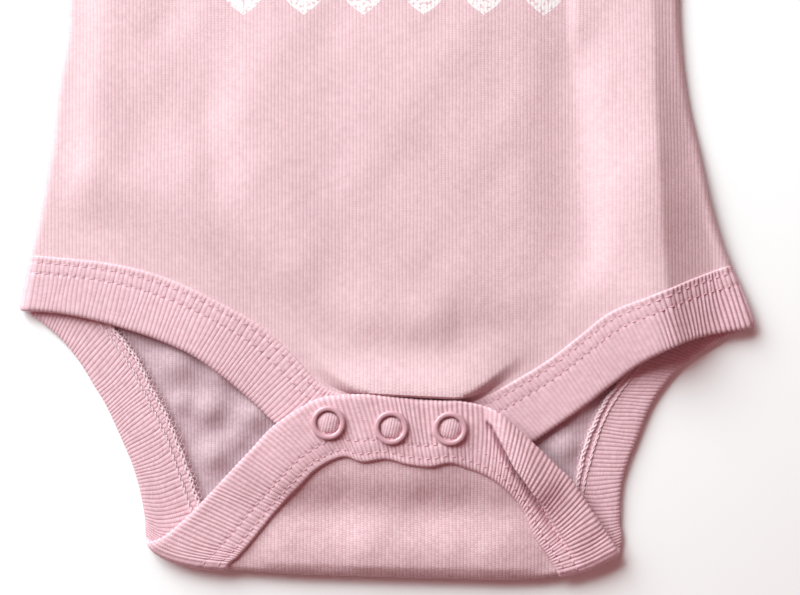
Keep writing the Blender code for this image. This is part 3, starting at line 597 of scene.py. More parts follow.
def flap_rise(x, run):
    """How far the folded-up flap rises above the top of its fold."""
    rise = FLAP_RISE * smooth_step(*FLAP_RISE_RUN, run)
    across = (x - FLAP_PUFF_X) / FLAP_PUFF_REACH
    along = (run - FLAP_PUFF_RUN) / FLAP_PUFF_FADE
    start = smooth_step(0.0, FLAP_PUFF_START, run)
    waves = cloth_waves(x * 1.3, run * 1.4) * start
    middle = FLAP_LIP * smooth_step(*FLAP_LIP_RUN, run) + FLAP_PUFF * np.exp(-along ** 2) * start
    middle -= FLAP_SAG * bell(run, FLAP_SAG_RUN, FLAP_SAG_REACH)
    return rise + middle * np.exp(-across ** 4) + waves


def back_place(x, cut, half):
    """Points of the back's flat cut, laid down and folded over at crotch and shoulders."""
    x = x + 0.0 * cut
    run, rise = fold_over(LOW_LINE - cut, LOW_FOLD_RADIUS)
    low_y = LOW_FOLD_Y + run + fold_lift(x) * np.maximum(1.0 - run / FOLD_FADE, 0.0)
    low_z = rise + np.where(cut < LOW_LINE, flap_rise(x, run), 0.0)
    run, rise = fold_over(cut - TOP_LINE, TOP_FOLD_RADIUS)
    drop = shoulder_drop(np.abs(x)) * np.maximum(1.0 - run / FOLD_FADE, 0.0)
    top_y = TOP_FOLD_Y - run - drop
    y = np.where(cut < 0.0, low_y, top_y)
    z = half + np.where(cut < 0.0, low_z, rise)
    return np.stack((x, y, z), axis=-1)


def inside_rise(x, y):
    """How far the inside of the back lifts in the leg openings."""
    total = np.zeros(np.broadcast(x, y).shape)
    for x0, y0, radius, rise in INSIDE_FOLDS:
        total += rise * np.exp(-((x - x0) ** 2 + (y - y0) ** 2) / radius ** 2)
    return total


def on_back_panel(x, cut):
    """The back panel's cloth, lifted a little where the leg openings show its inside."""
    points = back_place(x, cut, PANEL_HALF)
    points[..., 2] += np.where(cut > LOW_LINE + 6.0, inside_rise(x, points[..., 1]), 0.0)
    return points


def on_back(x, cut):
    return back_place(x, cut, BAND_HALF)


def on_front(x, y):
    return front_place(x, y, BAND_HALF, BAND_ROLL)


def facing(place, x, cut):
    """The cloth's unit normals at points of its flat cut."""
    step = 0.05
    along = place(x + step, cut) - place(x - step, cut)
    over = place(x, cut + step) - place(x, cut - step)
    normal = np.cross(along, over)
    return normal / np.linalg.norm(normal, axis=-1)[..., None]


# ================================================================ meshes
def add_piece(name, points, faces, materials, uv=None, slots=None, smooth=50.0):
    """Make a piece from points in millimetres, with a UV map in millimetres of cloth."""
    mesh = bpy.data.meshes.new(name)
    mesh.from_pydata((np.asarray(points) * MM).tolist(), [], faces)
    for material in materials:
        mesh.materials.append(material)
    if slots is not None:
        mesh.polygons.foreach_set("material_index", np.asarray(slots, dtype=np.int32))
    if uv is not None:
        layer = mesh.uv_layers.new(name="cloth")
        corners = np.empty(len(mesh.loops), dtype=np.int32)
        mesh.loops.foreach_get("vertex_index", corners)
        layer.data.foreach_set("uv", np.asarray(uv, dtype=np.float32)[corners].ravel())
    mesh.validate()
    mesh.shade_smooth()
    mesh.set_sharp_from_angle(angle=math.radians(smooth))
    piece = bpy.data.objects.new(name, mesh)
    bpy.context.scene.collection.objects.link(piece)
    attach(piece, BODY)
    return piece


def stitch_grid(rows, columns, wrap_rows=False, wrap_columns=False):
    """Faces of a grid of points, row by row."""
    i = np.arange(rows if wrap_rows else rows - 1)
    j = np.arange(columns if wrap_columns else columns - 1)
    i, j = np.meshgrid(i, j, indexing="ij")
    below, beside = (i + 1) % rows, (j + 1) % columns
    quads = np.stack(
        (i * columns + j, below * columns + j, below * columns + beside, i * columns + beside), -1
    )
    return quads.reshape(-1, 4).tolist()


def inside_outline(points, loop, clear):
    """Which points lie inside a closed outline and at least this far from it."""
    inside = np.zeros(len(points), dtype=bool)
    near = np.full(len(points), np.inf)
    for a, b in zip(loop, np.roll(loop, -1, axis=0)):
        edge = b - a
        to = points - a
        t = np.clip(to @ edge / max(edge @ edge, 1e-12), 0.0, 1.0)
        off = to - t[:, None] * edge
        near = np.minimum(near, off[:, 0] ** 2 + off[:, 1] ** 2)
        if a[1] != b[1]:
            crosses = (a[1] > points[:, 1]) != (b[1] > points[:, 1])
            hit = a[0] + to[:, 1] / edge[1] * edge[0]
            inside ^= crosses & (points[:, 0] < hit)
    return inside & (near > np.square(clear))


def lattice(columns, rows):
    """The points where columns and rows cross."""
    return np.stack(np.meshgrid(columns, rows), axis=-1).reshape(-1, 2)


def cut_cloth(name, loop, grid, clear, lay, materials, upper_slot):
    """Cut cloth to its outline, lay it and give it its thickness.

    lay() takes points of the outline's plane to the cloth's middle and to its flat cut.
    """
    loop = np.asarray(loop, dtype=float)
    grid = grid[inside_outline(grid, loop, clear)]
    points = [Vector(p) for p in np.vstack((loop, grid))]
    border = [(i, (i + 1) % len(loop)) for i in range(len(loop))]
    verts, _edges, faces, *_rest = delaunay_2d_cdt(points, border, [], 1, 1e-6)
    flat = np.array([tuple(v) for v in verts])
    laid, cut = lay(flat[:, 0], flat[:, 1])
    faces = np.array(faces)
    corners = laid[faces]
    cross = np.cross(corners[:, 1] - corners[:, 0], corners[:, 2] - corners[:, 0])
    normals = np.zeros_like(laid)
    for k in range(3):
        np.add.at(normals, faces[:, k], cross)
    normals /= np.linalg.norm(normals, axis=1)[:, None]
    total = len(laid)
    edges = np.vstack((faces[:, (0, 1)], faces[:, (1, 2)], faces[:, (2, 0)]))
    pairs = {(a, b) for a, b in edges.tolist()}
    rim = [(b, a, a + total, b + total) for a, b in sorted(pairs) if (b, a) not in pairs]
    solid = faces.tolist() + (faces[:, (0, 2, 1)] + total).tolist() + rim
    slots = [upper_slot] * len(faces) + [1 - upper_slot] * len(faces) + [0] * len(rim)
    spread = cut[faces]
    one, two = spread[:, 1] - spread[:, 0], spread[:, 2] - spread[:, 0]
    area = 0.5 * np.abs(one[:, 0] * two[:, 1] - one[:, 1] * two[:, 0]).sum()
    walls = np.vstack((laid + normals * PANEL_HALF, laid - normals * PANEL_HALF))
    piece = add_piece(name, walls, solid, materials, np.vstack((cut, cut)), slots)
    size = cut.max(axis=0) - cut.min(axis=0)
    return piece, size * MM, area * MM * MM


def declare(piece, size, area, nodes):
    """Hide the imported solids that a piece of cloth replaces."""
    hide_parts(*nodes)


class Binding:
    """A doubled rib binding, measured along it and across it from its seam to its folded edge."""

    def __init__(self, rows, place, outside, pitch, crests=((0.0, 0.8),), depths=((0.0, RIB_DEPTH),)):
        rows = [tuple(row) + (0.0,) * (5 - len(row)) for row in rows]
        dense = through(rows, 60 * len(rows))
        middle = 0.5 * (dense[:, 0:2] + dense[:, 2:4])
        steps = np.hypot(*np.diff(middle, axis=0).T)
        self.at = np.concatenate(([0.0], np.cumsum(steps)))
        self.rows = dense
        self.place = place
        self.outside = outside
        self.length = self.at[-1]
        self.ribs = int(round(self.length / pitch / 2.0)) * 2
        self.pitch = self.length / self.ribs
        self.crests = np.array(crests).T
        self.depths = np.array(depths).T
        self.width = float(np.hypot(*(dense[:, 2:4] - dense[:, 0:2]).T).mean())

    def lay(self, along, across, out):
        """Points this far outwards from the binding's middle; its outside is the right side."""
        along = np.clip(along, 0.0, self.length)
        seam_x, seam_c, edge_x, edge_c, roll = (np.interp(along, self.at, c) for c in self.rows.T)
        roll = np.maximum(roll, 0.0)
        past = across - self.crease(along)
        slide = EDGE_SLIDE * bell(past, *EDGE_SLIDE_AT) - SEAM_SLIDE * bell(past, *SEAM_SLIDE_AT)
        across = across + roll * slide
        x = seam_x + (edge_x - seam_x) * across
        cut = seam_c + (edge_c - seam_c) * across
        points = self.place(x, cut)
        points += facing(self.place, x, cut) * (self.outside * out)[..., None]
        heap = smooth_step(*ROLL_RISE, past) * (1.0 - ROLL_DROP * smooth_step(*ROLL_FALL, past))
        valley = bell(past, CREASE_MIDDLE, np.where(past < CREASE_MIDDLE, *CREASE_WIDTHS))
        points[..., 2] += roll * (ROLL_HEIGHT * heap - CREASE_DEPTH * valley)
        return points

    def crease(self, along):
        """Where across the binding the crease runs."""
        if not self.rows[:, 4].any():
            return np.full(np.shape(along), CREASE_REST)
        xs, shares = np.array(CREASE).T
        return np.interp(np.interp(along, self.at, self.rows[:, 0]), xs, shares)

    def spread(self, along, share):
        """Shares across the binding, moved so that CREASE_REST falls on the crease."""
        line = self.crease(along)
        low = share * line / CREASE_REST
        high = line + (share - CREASE_REST) * (1.0 - line) / (1.0 - CREASE_REST)
        return np.where(share < CREASE_REST, low, high)

    def relief(self, along, across):
        """How far the ribs' grooves and the stitching pull the surface in."""
        share = along / self.length
        power = np.interp(share, *self.crests)
        depth = np.interp(share, *self.depths)
        wave = np.abs(np.sin(np.pi * along / self.pitch)) ** power
        pair = np.abs(np.sin(0.5 * np.pi * along / self.pitch)) ** 0.5
        first, second = STITCH_ROWS
        sewn = smooth_step(first - 0.05, first, across)
        sewn *= 1.0 - smooth_step(second - 0.02, second + 0.03, across)
        uneven = 1.0 + 0.25 * np.sin(along * 0.83) * np.sin(along * 0.117 + 1.0)
        ribs = -depth * (1.0 - wave) * uneven
        pulled = -0.9 * depth * (1.0 - 0.45 * wave - 0.55 * pair) * uneven
        rows = bell(across, first, ROW_WIDTH) + bell(across, second, ROW_WIDTH)
        holes = rows * (1.0 - pair)
        drawn = (ribs * (1.0 - sewn) + pulled * sewn) * smooth_step(0.01, 0.08, across)
        return drawn - STITCH_SINK * (ROW_SINK * rows + HOLE_SINK * holes)


# v from seam to edge, h from the inside (-1) to the outside (1): a binding's section
OUT_SPREAD = (
    0.03, 0.065, 0.095, 0.12, 0.145, 0.18, 0.22, 0.255, 0.28, 0.295, 0.31, 0.325, 0.345, 0.37,
    0.39, 0.405, 0.42, 0.44, 0.465, 0.49, 0.52, 0.56, 0.61, 0.67, 0.74, 0.81, 0.87, 0.91,
)
IN_SPREAD = (0.9, 0.78, 0.64, 0.5, 0.4, 0.3, 0.22, 0.16, 0.1, 0.05)


def binding_section():
    """Points round a binding: its seam edge, outside, folded edge and inside."""
    seam = [(0.0, -0.45), (-0.012, 0.1), (0.0, 0.6), (0.012, 0.86)]
    outside = [(v, 1.0) for v in OUT_SPREAD]
    fold = [(0.945, 0.93), (0.975, 0.72), (0.994, 0.38), (1.0, 0.0), (0.994, -0.4), (0.97, -0.8)]
    inside = [(v, -1.0) for v in IN_SPREAD]
    return np.array(seam + outside + fold + inside)


def sew_binding(node, binding, materials):
    """Make a binding with its ribs, pulled in by its stitching.

    A second material is the knit of the part within FLAP_SHARE, which lies on the flap.
    """
    along = (np.arange(binding.ribs)[:, None] + RIB_PHASES).ravel() * binding.pitch
    along = np.append(along, binding.length)
    section = binding_section()
    s, v = np.meshgrid(along, section[:, 0], indexing="ij")
    v = binding.spread(s, v)
    h = np.broadcast_to(section[:, 1], s.shape)
    relief = binding.relief(s, np.clip(v, 0.0, 1.0))
    size = np.abs(h)
    out = np.copysign(size * (BAND_HALF + relief), h)
    v = v + (1.0 - size) * relief / binding.width * np.where(v > 0.5, 1.0, -1.0)
    turn = 2.0 * np.pi * s
    middle = np.sin(np.pi * np.clip(v, 0.0, 1.0))
    wander = RIB_SWAY * np.sin(turn / RIB_SWAY_LENGTH + 1.0) * middle
    wander += RIB_SHIVER * np.sin(turn / RIB_SHIVER_LENGTH + 5.0 * v)
    last = binding.length - END_STILL
    ends = smooth_step(0.0, END_STILL, s) * (1.0 - smooth_step(last, binding.length, s))
    points = binding.lay(s + wander * ends, v, out)
    rows, columns = s.shape
    faces = stitch_grid(rows, columns, wrap_columns=True)
    faces += [tuple(range(columns)), tuple(reversed(range((rows - 1) * columns, rows * columns)))]
    uv = np.stack((s, v * binding.width), axis=-1).reshape(-1, 2)
    slots = None
    if len(materials) > 1:
        share = along[:-1] / binding.length
        on_flap = (share > FLAP_SHARE[0]) & (share < FLAP_SHARE[1])
        slots = np.append(np.repeat(on_flap, columns), (False, False))
    piece = add_piece(f"{node}_cloth", points.reshape(-1, 3), faces, materials, uv, slots)
    turn_out(piece)
    size = (binding.width * MM, binding.length * MM)
    declare(piece, size, None, [node])


def turn_out(piece):
    """Turn a closed mesh's faces outwards."""
    shape = bmesh.new()
    shape.from_mesh(piece.data)
    bmesh.ops.recalc_face_normals(shape, faces=shape.faces)
    shape.to_mesh(piece.data)
    shape.free()


def make_threads(name, paths, radius, material):
    """Short lengths of thread: each path's points, in millimetres, become a thin round strand."""
    paths = np.asarray(paths, dtype=float)
    count, length, _ = paths.shape
    ahead = np.gradient(paths, axis=1)
    ahead /= np.linalg.norm(ahead, axis=-1)[..., None]
    beside = np.cross(ahead, np.array((0.0, 0.0, 1.0)))
    beside /= np.maximum(np.linalg.norm(beside, axis=-1), 1e-6)[..., None]
    over = np.cross(beside, ahead)
    sides = 5
    turns = 2.0 * np.pi * np.arange(sides) / sides
    ring = beside[:, :, None] * np.cos(turns)[:, None] + over[:, :, None] * np.sin(turns)[:, None]
    points = (paths[:, :, None] + radius * ring).reshape(-1, 3)
    one = stitch_grid(length, sides, wrap_columns=True)
    one += [tuple(reversed(range(sides))), tuple(range((length - 1) * sides, length * sides))]
    step = length * sides
    faces = [tuple(c + k * step for c in face) for k in range(count) for face in one]
    piece = add_piece(name, points, faces, [material], smooth=80.0)
    turn_out(piece)
    return piece


# ================================================================ materials
class Tree:
    """Short ways to add nodes to the tree of a material or a node group."""

    def __init__(self, tree):
        self.tree = tree

    def link(self, source, target):
        """Join two sockets."""
        self.tree.links.new(source, target)

    def add(self, kind, inputs, **settings):
        """Add a node with its settings, its inputs set to values or joined to sockets."""
        node = self.tree.nodes.new(f"ShaderNode{kind}")
        for setting, value in settings.items():
            setattr(node, setting, value)
        for place, value in inputs.items():
            if isinstance(value, bpy.types.NodeSocket):
                self.link(value, node.inputs[place])
            else:
                node.inputs[place].default_value = value
        return node

    def calc(self, operation, *values):
        """A Math node's result, on sockets or numbers."""
        return self.add("Math", dict(enumerate(values)), operation=operation).outputs[0]

    def plus(self, total, *values):
        """The sum of sockets or numbers."""
        for value in values:
            total = self.calc("ADD", total, value)
        return total

    def times(self, product, *values):
        """The product of sockets or numbers."""
        for value in values:
            product = self.calc("MULTIPLY", product, value)
        return product

    def noise(self, vector, scale, detail=2.0):
        """A Noise Texture's value."""
        node = self.add("TexNoise", {"Vector": vector, "Scale": scale, "Detail": detail})
        return node.outputs["Fac"]

    def ramp(self, value, low, high, to=(0.0, 1.0)):
        """A value, spread so that low and high become the two ends of another range."""
        ends = {"From Min": low, "From Max": high, "To Min": to[0], "To Max": to[1]}
        return self.add("MapRange", {"Value": value, **ends}).outputs["Result"]

    def mix(self, share, *colours, way="MIX"):
        """Two colours, each a socket or a tuple, mixed by a share."""
        one, two = (c if isinstance(c, bpy.types.NodeSocket) else (*c, 1.0) for c in colours)
        inputs = {0: share, 6: one, 7: two}
        return self.add("Mix", inputs, data_type="RGBA", blend_type=way).outputs[2]

    def join_axes(self, x, y):
        """A vector from two sockets."""
        return self.add("CombineXYZ", {"X": x, "Y": y}).outputs["Vector"]

    def object_place(self):
        """Object coordinates."""
        return self.add("TexCoord", {}).outputs["Object"]


def new_group(name, settings, results):
    """A node group with its inputs' values and its outputs, as its tree and both ends' sockets."""
    group = bpy.data.node_groups.new(name, "ShaderNodeTree")
    for title, value in settings.items():
        made = group.interface.new_socket(name=title, in_out="INPUT", socket_type="NodeSocketFloat")
        made.default_value = value
    for title in results:
        group.interface.new_socket(name=title, in_out="OUTPUT", socket_type="NodeSocketFloat")
    given = group.nodes.new("NodeGroupInput").outputs
    result = group.nodes.new("NodeGroupOutput").inputs
    return Tree(group), given, result


def new_material(name, settings):
    """A material with constant values on its shader, its tree and the shader's inputs."""
    material = bpy.data.materials.new(name)
    material.use_nodes = True
    inputs = material.node_tree.nodes["Principled BSDF"].inputs
    for setting, value in settings.items():
        inputs[setting].default_value = value
    return material, Tree(material.node_tree), inputs


def knit_group():
    """Ribs of knitted loops, from how far a point is across and along them, in millimetres; their
    grooves and loop holes get painted shade.
    """
    known = bpy.data.node_groups.get("rib_knit_loops")
    if known:
        return known
    settings = {
        "Across": 0.0, "Along": 0.0, "Rib pitch": 1.1, "Loop pitch": 0.7,
        "Wander": 0.5, "Narrowness": 0.6, "Hole shade": 0.6,
    }
    tree, given, result = new_group("rib_knit_loops", settings, ("Height", "Groove shade", "Tone"))
    calc, plus, times, noise = tree.calc, tree.plus, tree.times, tree.noise
    place = tree.join_axes(given["Across"], given["Along"])
    drift = times(calc("SUBTRACT", noise(place, 0.045), 0.5), given["Wander"])
    ribs = calc("DIVIDE", plus(given["Across"], drift), given["Rib pitch"])
    number = calc("FLOOR", ribs)
    wave = calc("ABSOLUTE", calc("SINE", times(ribs, math.pi)))
    crest = calc("POWER", wave, given["Narrowness"])
    lean = calc("ABSOLUTE", calc("SUBTRACT", calc("FRACT", ribs), 0.5))
    stagger = tree.add("TexWhiteNoise", {"W": number}, noise_dimensions="1D").outputs["Value"]
    loops = calc("DIVIDE", given["Along"], given["Loop pitch"])
    loops = plus(loops, times(lean, 0.9), stagger)
    loop = plus(times(calc("SINE", times(loops, 2.0 * math.pi)), 0.5), 0.5)
    hole = calc("SUBTRACT", 1.0, loop)
    stitch = tree.join_axes(number, calc("FLOOR", loops))
    chance = tree.add("TexWhiteNoise", {"Vector": stitch}, noise_dimensions="2D").outputs["Value"]
    fuzz = noise(place, 1.7, 3.0)
    raised = times(crest, plus(times(loop, 0.35), 0.65))
    tree.link(plus(raised, times(fuzz, 0.25)), result["Height"])
    # painted shade: darker in the grooves between the ribs and at the loop holes, with a random tone per
    # stitch and fuzz on top
    shade = plus(
        times(calc("SUBTRACT", 1.0, crest), plus(times(hole, 0.5), 0.5)),
        times(crest, hole, given["Hole shade"]),
        times(calc("SUBTRACT", chance, 0.5), 0.4),
        times(calc("SUBTRACT", fuzz, 0.5), 0.5),
    )
    tree.link(tree.ramp(shade, 0.0, 1.0), result["Groove shade"])
    tone = plus(times(noise(place, 0.03, 3.0), 0.5), times(noise(place, 0.4), 0.5))
    tree.link(tree.ramp(tone, 0.32, 0.68), result["Tone"])
    return tree.tree


def heart_group():
    """Staggered rows of plain white hearts, worn thin in places: 1 where there is ink."""
    known = bpy.data.node_groups.get("heart_print")
    if known:
        return known
    settings = {
        "Across": 0.0, "Along": 0.0, "Left": -50.0, "Foot": -13.0, "Spacing": 18.6,
        "Row spacing": 18.0, "Hearts": 6.0, "Rows": 3.0, "Size": 6.4,
    }
    tree, given, result = new_group("heart_print", settings, ("Ink",))
    calc, times = tree.calc, tree.times
    row = calc("DIVIDE", calc("SUBTRACT", given["Along"], given["Foot"]), given["Row spacing"])
    odd = calc("ABSOLUTE", calc("MODULO", calc("FLOOR", row), 2.0))
    column = calc("DIVIDE", calc("SUBTRACT", given["Across"], given["Left"]), given["Spacing"])
    column = calc("SUBTRACT", column, times(odd, 0.5))
    a, b = (
        calc("DIVIDE", times(calc("SUBTRACT", calc("FRACT", at), middle), given[gap]), given["Size"])
        for at, middle, gap in ((column, 0.5, "Spacing"), (row, 0.47, "Row spacing"))
    )
    a2, b2 = times(a, a), times(b, b)
    disc = calc("SUBTRACT", tree.plus(a2, b2), 1.0)
    outline = calc("SUBTRACT", times(disc, times(disc, disc)), times(a2, times(b2, b)))
    place = tree.join_axes(given["Across"], given["Along"])
    ink = times(
        calc("LESS_THAN", outline, 0.0),
        calc("GREATER_THAN", column, 0.0),
        calc("LESS_THAN", column, calc("SUBTRACT", given["Hearts"], odd)),
        calc("GREATER_THAN", row, 0.0),
        calc("LESS_THAN", row, given["Rows"]),
        tree.ramp(tree.noise(place, 0.9, 4.0), 0.4, 0.47),
    )
    tree.link(ink, result["Ink"])
    return tree.tree


def knit_material(name, crest, groove_shade, pitches, relief, depth, crests=(0.5, 0.6, 0.6), printed=False):
    """Cotton rib knit, its sizes in millimetres.

    pitches are those of its ribs and loops, and crests their wander, narrowness and painted shade at the
    loop holes. The second colour is painted shade for the grooves and loop holes, and depth is how much
    of it is painted.
    """
    known = bpy.data.materials.get(name)
    if known:
        return known
    material, tree, shader = new_material(name, {
        "Roughness": 0.88, "Specular IOR Level": 0.25, "Sheen Weight": 0.12, "Sheen Roughness": 0.5,
    })
    chart = tree.add("UVMap", {}, uv_map="cloth").outputs["UV"]
    split = tree.add("SeparateXYZ", {"Vector": chart}).outputs
    place = {"Across": split["X"], "Along": split["Y"]}
    titles = ("Rib pitch", "Loop pitch", "Wander", "Narrowness", "Hole shade")
    settings = dict(zip(titles, (*pitches, *crests)))
    loops = tree.add("Group", {**place, **settings}, node_tree=knit_group()).outputs
    # painted shade: the darker colour is mixed in where the grooves and loop holes are
    colour = tree.mix(tree.times(loops["Groove shade"], depth), crest, groove_shade)
    shade = tree.ramp(loops["Tone"], 0.0, 1.0, KNIT_TONES)
    grey = tree.add("CombineColor", dict.fromkeys(range(3), shade)).outputs[0]
    colour = tree.mix(1.0, colour, grey, way="MULTIPLY")
    if printed:
        hearts = tree.add("Group", place, node_tree=heart_group()).outputs
        colour = tree.mix(tree.times(hearts["Ink"], INK_COVER), colour, INK_COLOUR)
    tree.link(colour, shader["Base Color"])
    bump = {"Strength": 1.0, "Distance": relief * MM, "Height": loops["Height"]}
    tree.link(tree.add("Bump", bump).outputs["Normal"], shader["Normal"])
    return material


def thread_material(name, colour):
    """Sewing thread."""
    known = bpy.data.materials.get(name)
    if known:
        return known
    material, tree, shader = new_material(name, {"Roughness": 0.6, "Sheen Weight": 0.2})
    twist = tree.ramp(tree.noise(tree.object_place(), 2600.0, 1.0), 0.35, 0.65)
    shaded = tuple(0.82 * c for c in colour)
    tree.link(tree.mix(twist, shaded, colour), shader["Base Color"])
    return material


def enamel_material(colour):
    """Glossy enamel on the snap rings."""
    known = bpy.data.materials.get("pink_enamel_gloss")
    if known:
        return known
    gloss = {"Coat Weight": 0.6, "Coat Roughness": 0.12}
    material, tree, shader = new_material("pink_enamel_gloss", gloss)
    wear = tree.noise(tree.object_place(), 420.0, 3.0)
    paler = tuple(1.12 * c for c in colour)
    tree.link(tree.mix(tree.ramp(wear, 0.4, 0.75), colour, paler), shader["Base Color"])
    tree.link(tree.ramp(wear, 0.3, 0.8, (0.24, 0.38)), shader["Roughness"])
    return material


def panel_knit(cloth, name, ribs, grooves, depth, **more):
    """A panel's knit, with the pitches and the relief of its ribs."""
    pitches = (cloth.rib_pitch / MM, cloth.loop_pitch / MM)
    return knit_material(name, ribs, grooves, pitches, cloth.rib_relief / MM, depth, **more)


def right_side(cloth, printed=False):
    """The outside of the panels' knit."""
    # depth is how much painted shade the grooves get: less on the printed front than on the back and
    # sleeves
    name, depth = ("printed_rib_knit", 0.6) if printed else ("rib_knit_outside", 1.05)
    more = {"crests": (0.5, 0.45, 0.7), "printed": printed}
    return panel_knit(cloth, name, cloth.knit_colour, cloth.groove_shade_colour, depth, **more)


def wrong_side(cloth):
    """The inside of the panels' knit."""
    ribs, grooves = cloth.inside_colour, cloth.inside_groove_shade_colour
    # the wrong side's grooves get painted shade too
    return panel_knit(cloth, "rib_knit_inside", ribs, grooves, 0.8)


def binding_knit(cloth, name, pitch, depth=0.9, narrowness=0.75):
    """The bindings' knit. Its ribs are modelled, so its grooves, painted in shade, follow their pitch.
    """
    return knit_material(
        name, cloth.binding_colour, cloth.binding_groove_shade_colour, (pitch, 0.62), 0.07, depth,
        crests=(0.0, narrowness, 0.5),
    )


# ================================================================ properties
def length_setting(name, description, default, least, precision=5):
    """A setting that is a length."""
    return bpy.props.FloatProperty(
        name=name, description=description, default=default, min=least, precision=precision,
        unit="LENGTH",
    )


def light_setting(name, description, default, unit="NONE"):
    """A setting that is a light's power or strength."""
    return bpy.props.FloatProperty(
        name=name, description=description, default=default, min=0.0, unit=unit,
    )


def colour_setting(name, description, *default):
    """A setting that is a colour."""
    return bpy.props.FloatVectorProperty(
        name=name, description=description, default=default, min=0.0, max=1.0, subtype="COLOR",
    )


class BodysuitCloth(bpy.types.PropertyGroup):
    """Sizes and colours of the cloth."""

    rib_pitch: length_setting("Rib pitch", "From rib to rib of the body's knit", 0.0011, 0.0005)
    loop_pitch: length_setting("Loop pitch", "From loop to loop along a rib", 0.0007, 0.0003)
    rib_relief: length_setting("Rib relief", "How far the body's ribs stand up", 0.00009, 0.0)
    binding_pitch: length_setting("Binding rib pitch", "From rib to rib of the bindings", 0.0014, 0.0008)
    detail: length_setting("Cloth detail", "Spacing of the points inside a panel", 0.0015, 0.001)
    knit_colour: colour_setting("Knit", "Colour of the body's ribs", 0.75, 0.56, 0.59)
    # painted shade between the body's ribs
    groove_shade_colour: colour_setting("Knit groove shade", "Colour between the body's ribs", 0.56, 0.34, 0.375)
    inside_colour: colour_setting("Inside", "Colour of the knit's wrong side", 0.64, 0.48, 0.53)
    # painted shade between the ribs of the wrong side
    inside_groove_shade_colour: colour_setting(
        "Inside groove shade", "Colour between the ribs of the wrong side", 0.38, 0.25, 0.29,
    )
    binding_colour: colour_setting("Binding", "Colour of the bindings' ribs", 0.79, 0.56, 0.615)
    # painted shade between the bindings' ribs
    binding_groove_shade_colour: colour_setting(
        "Binding groove shade", "Colour between the bindings' ribs", 0.55, 0.30, 0.34,
    )
    # the thread's own pink, darkened partly as painted shade of the holes it sinks into
    thread_and_shade_colour: colour_setting("Thread", "Colour of the sewing thread", 0.68, 0.38, 0.45)
    looper_colour: colour_setting(
        "Looper thread", "Colour of the thread inside the binding", 0.80, 0.59, 0.64,
    )
    enamel_colour: colour_setting("Snaps", "Colour of the snap rings", 0.60, 0.36, 0.41)


class BodysuitStage(bpy.types.PropertyGroup):
    """The view, the light and the floor."""

    view_centre: bpy.props.FloatVectorProperty(
        name="View centre", description="Point of the floor below the camera", size=2,
        default=(0.00775, -0.0983), subtype="XYZ", unit="LENGTH", precision=5,
    )
    view_width: length_setting(
        "View width", "Width that the camera sees at the cloth's height", 0.248, 0.05, precision=2,
    )
    camera_height: length_setting(
        "Camera height", "Height of the camera above the floor", 0.62, 0.2, precision=2,
    )
    window_power: light_setting(
        "Window light", "Power of the large soft light at the upper left", 29.5, "POWER",
    )
    top_power: light_setting("Top light", "Power of the nearer soft light beyond the neck", 2.1, "POWER")
    room_light: light_setting("Room light", "Strength of the even light from all round", 0.28)
    floor_colour: colour_setting("Floor", "Colour of the floor", 0.94, 0.99, 0.99)


# ================================================================ pieces
class BODYSUIT_OT_back_panel(bpy.types.Operator):
    """Lay the back, with its crotch flap folded up and its lap shoulders folded forwards"""

    bl_idname = "bodysuit.back_panel"
    bl_label = "Back panel"

    def execute(self, context):
        cloth = context.scene.bodysuit_cloth
        step = cloth.detail / MM
        leg = through(back_leg_rows(), 320)[:, :2]
        neck = through(back_neck_rows(), 150)[:, :2]
        flank = np.arange(-84.0, ARMPIT_Y, 3.0)
        arm_y = np.arange(86.0, 166.0, 2.0)
        arm = [(armhole(y), top_cut(armhole(y), y, "floor")) for y in arm_y]
        arm += [(armhole(TOP_FOLD_Y), TOP_LINE + k * 0.6) for k in range(-6, 7)]
        arm += [(armhole(y), top_cut(armhole(y), y, "lap")) for y in (168.0, 163.0, 159.0)]
        arm = np.array(arm, dtype=float)
        right = np.stack((side_right(flank) - SIDE_INSET, flank), axis=1)
        left = np.stack((side_left(flank) + SIDE_INSET, flank), axis=1)
        loop = np.vstack((
            inset(leg, -1.0), right, arm, inset(neck[::-1], -1.0), (arm * (-1.0, 1.0))[::-1], left[::-1],
        ))
        columns = np.arange(-108.0, 108.0, step)
        near = np.arange(-6.0, 6.01, 0.5)
        rows = np.concatenate((
            np.arange(LOW_LINE - 40.0, LOW_LINE - 6.5, 0.8 * step), LOW_LINE + near,
            np.arange(LOW_LINE + 7.0, TOP_LINE - 7.0, 1.3 * step), TOP_LINE + near,
            np.arange(TOP_LINE + 7.0, TOP_LINE + 30.0, step),
        ))

        def lay(x, cut):
            return on_back_panel(x, cut), np.stack((x, cut), axis=1)

        materials = [right_side(cloth), wrong_side(cloth)]
        grid = lattice(columns, rows)
        piece, size, area = cut_cloth("back_cloth", loop, grid, 0.45 * step, lay, materials, 1)
        declare(piece, size, area, ["back_panel"])
        return {"FINISHED"}


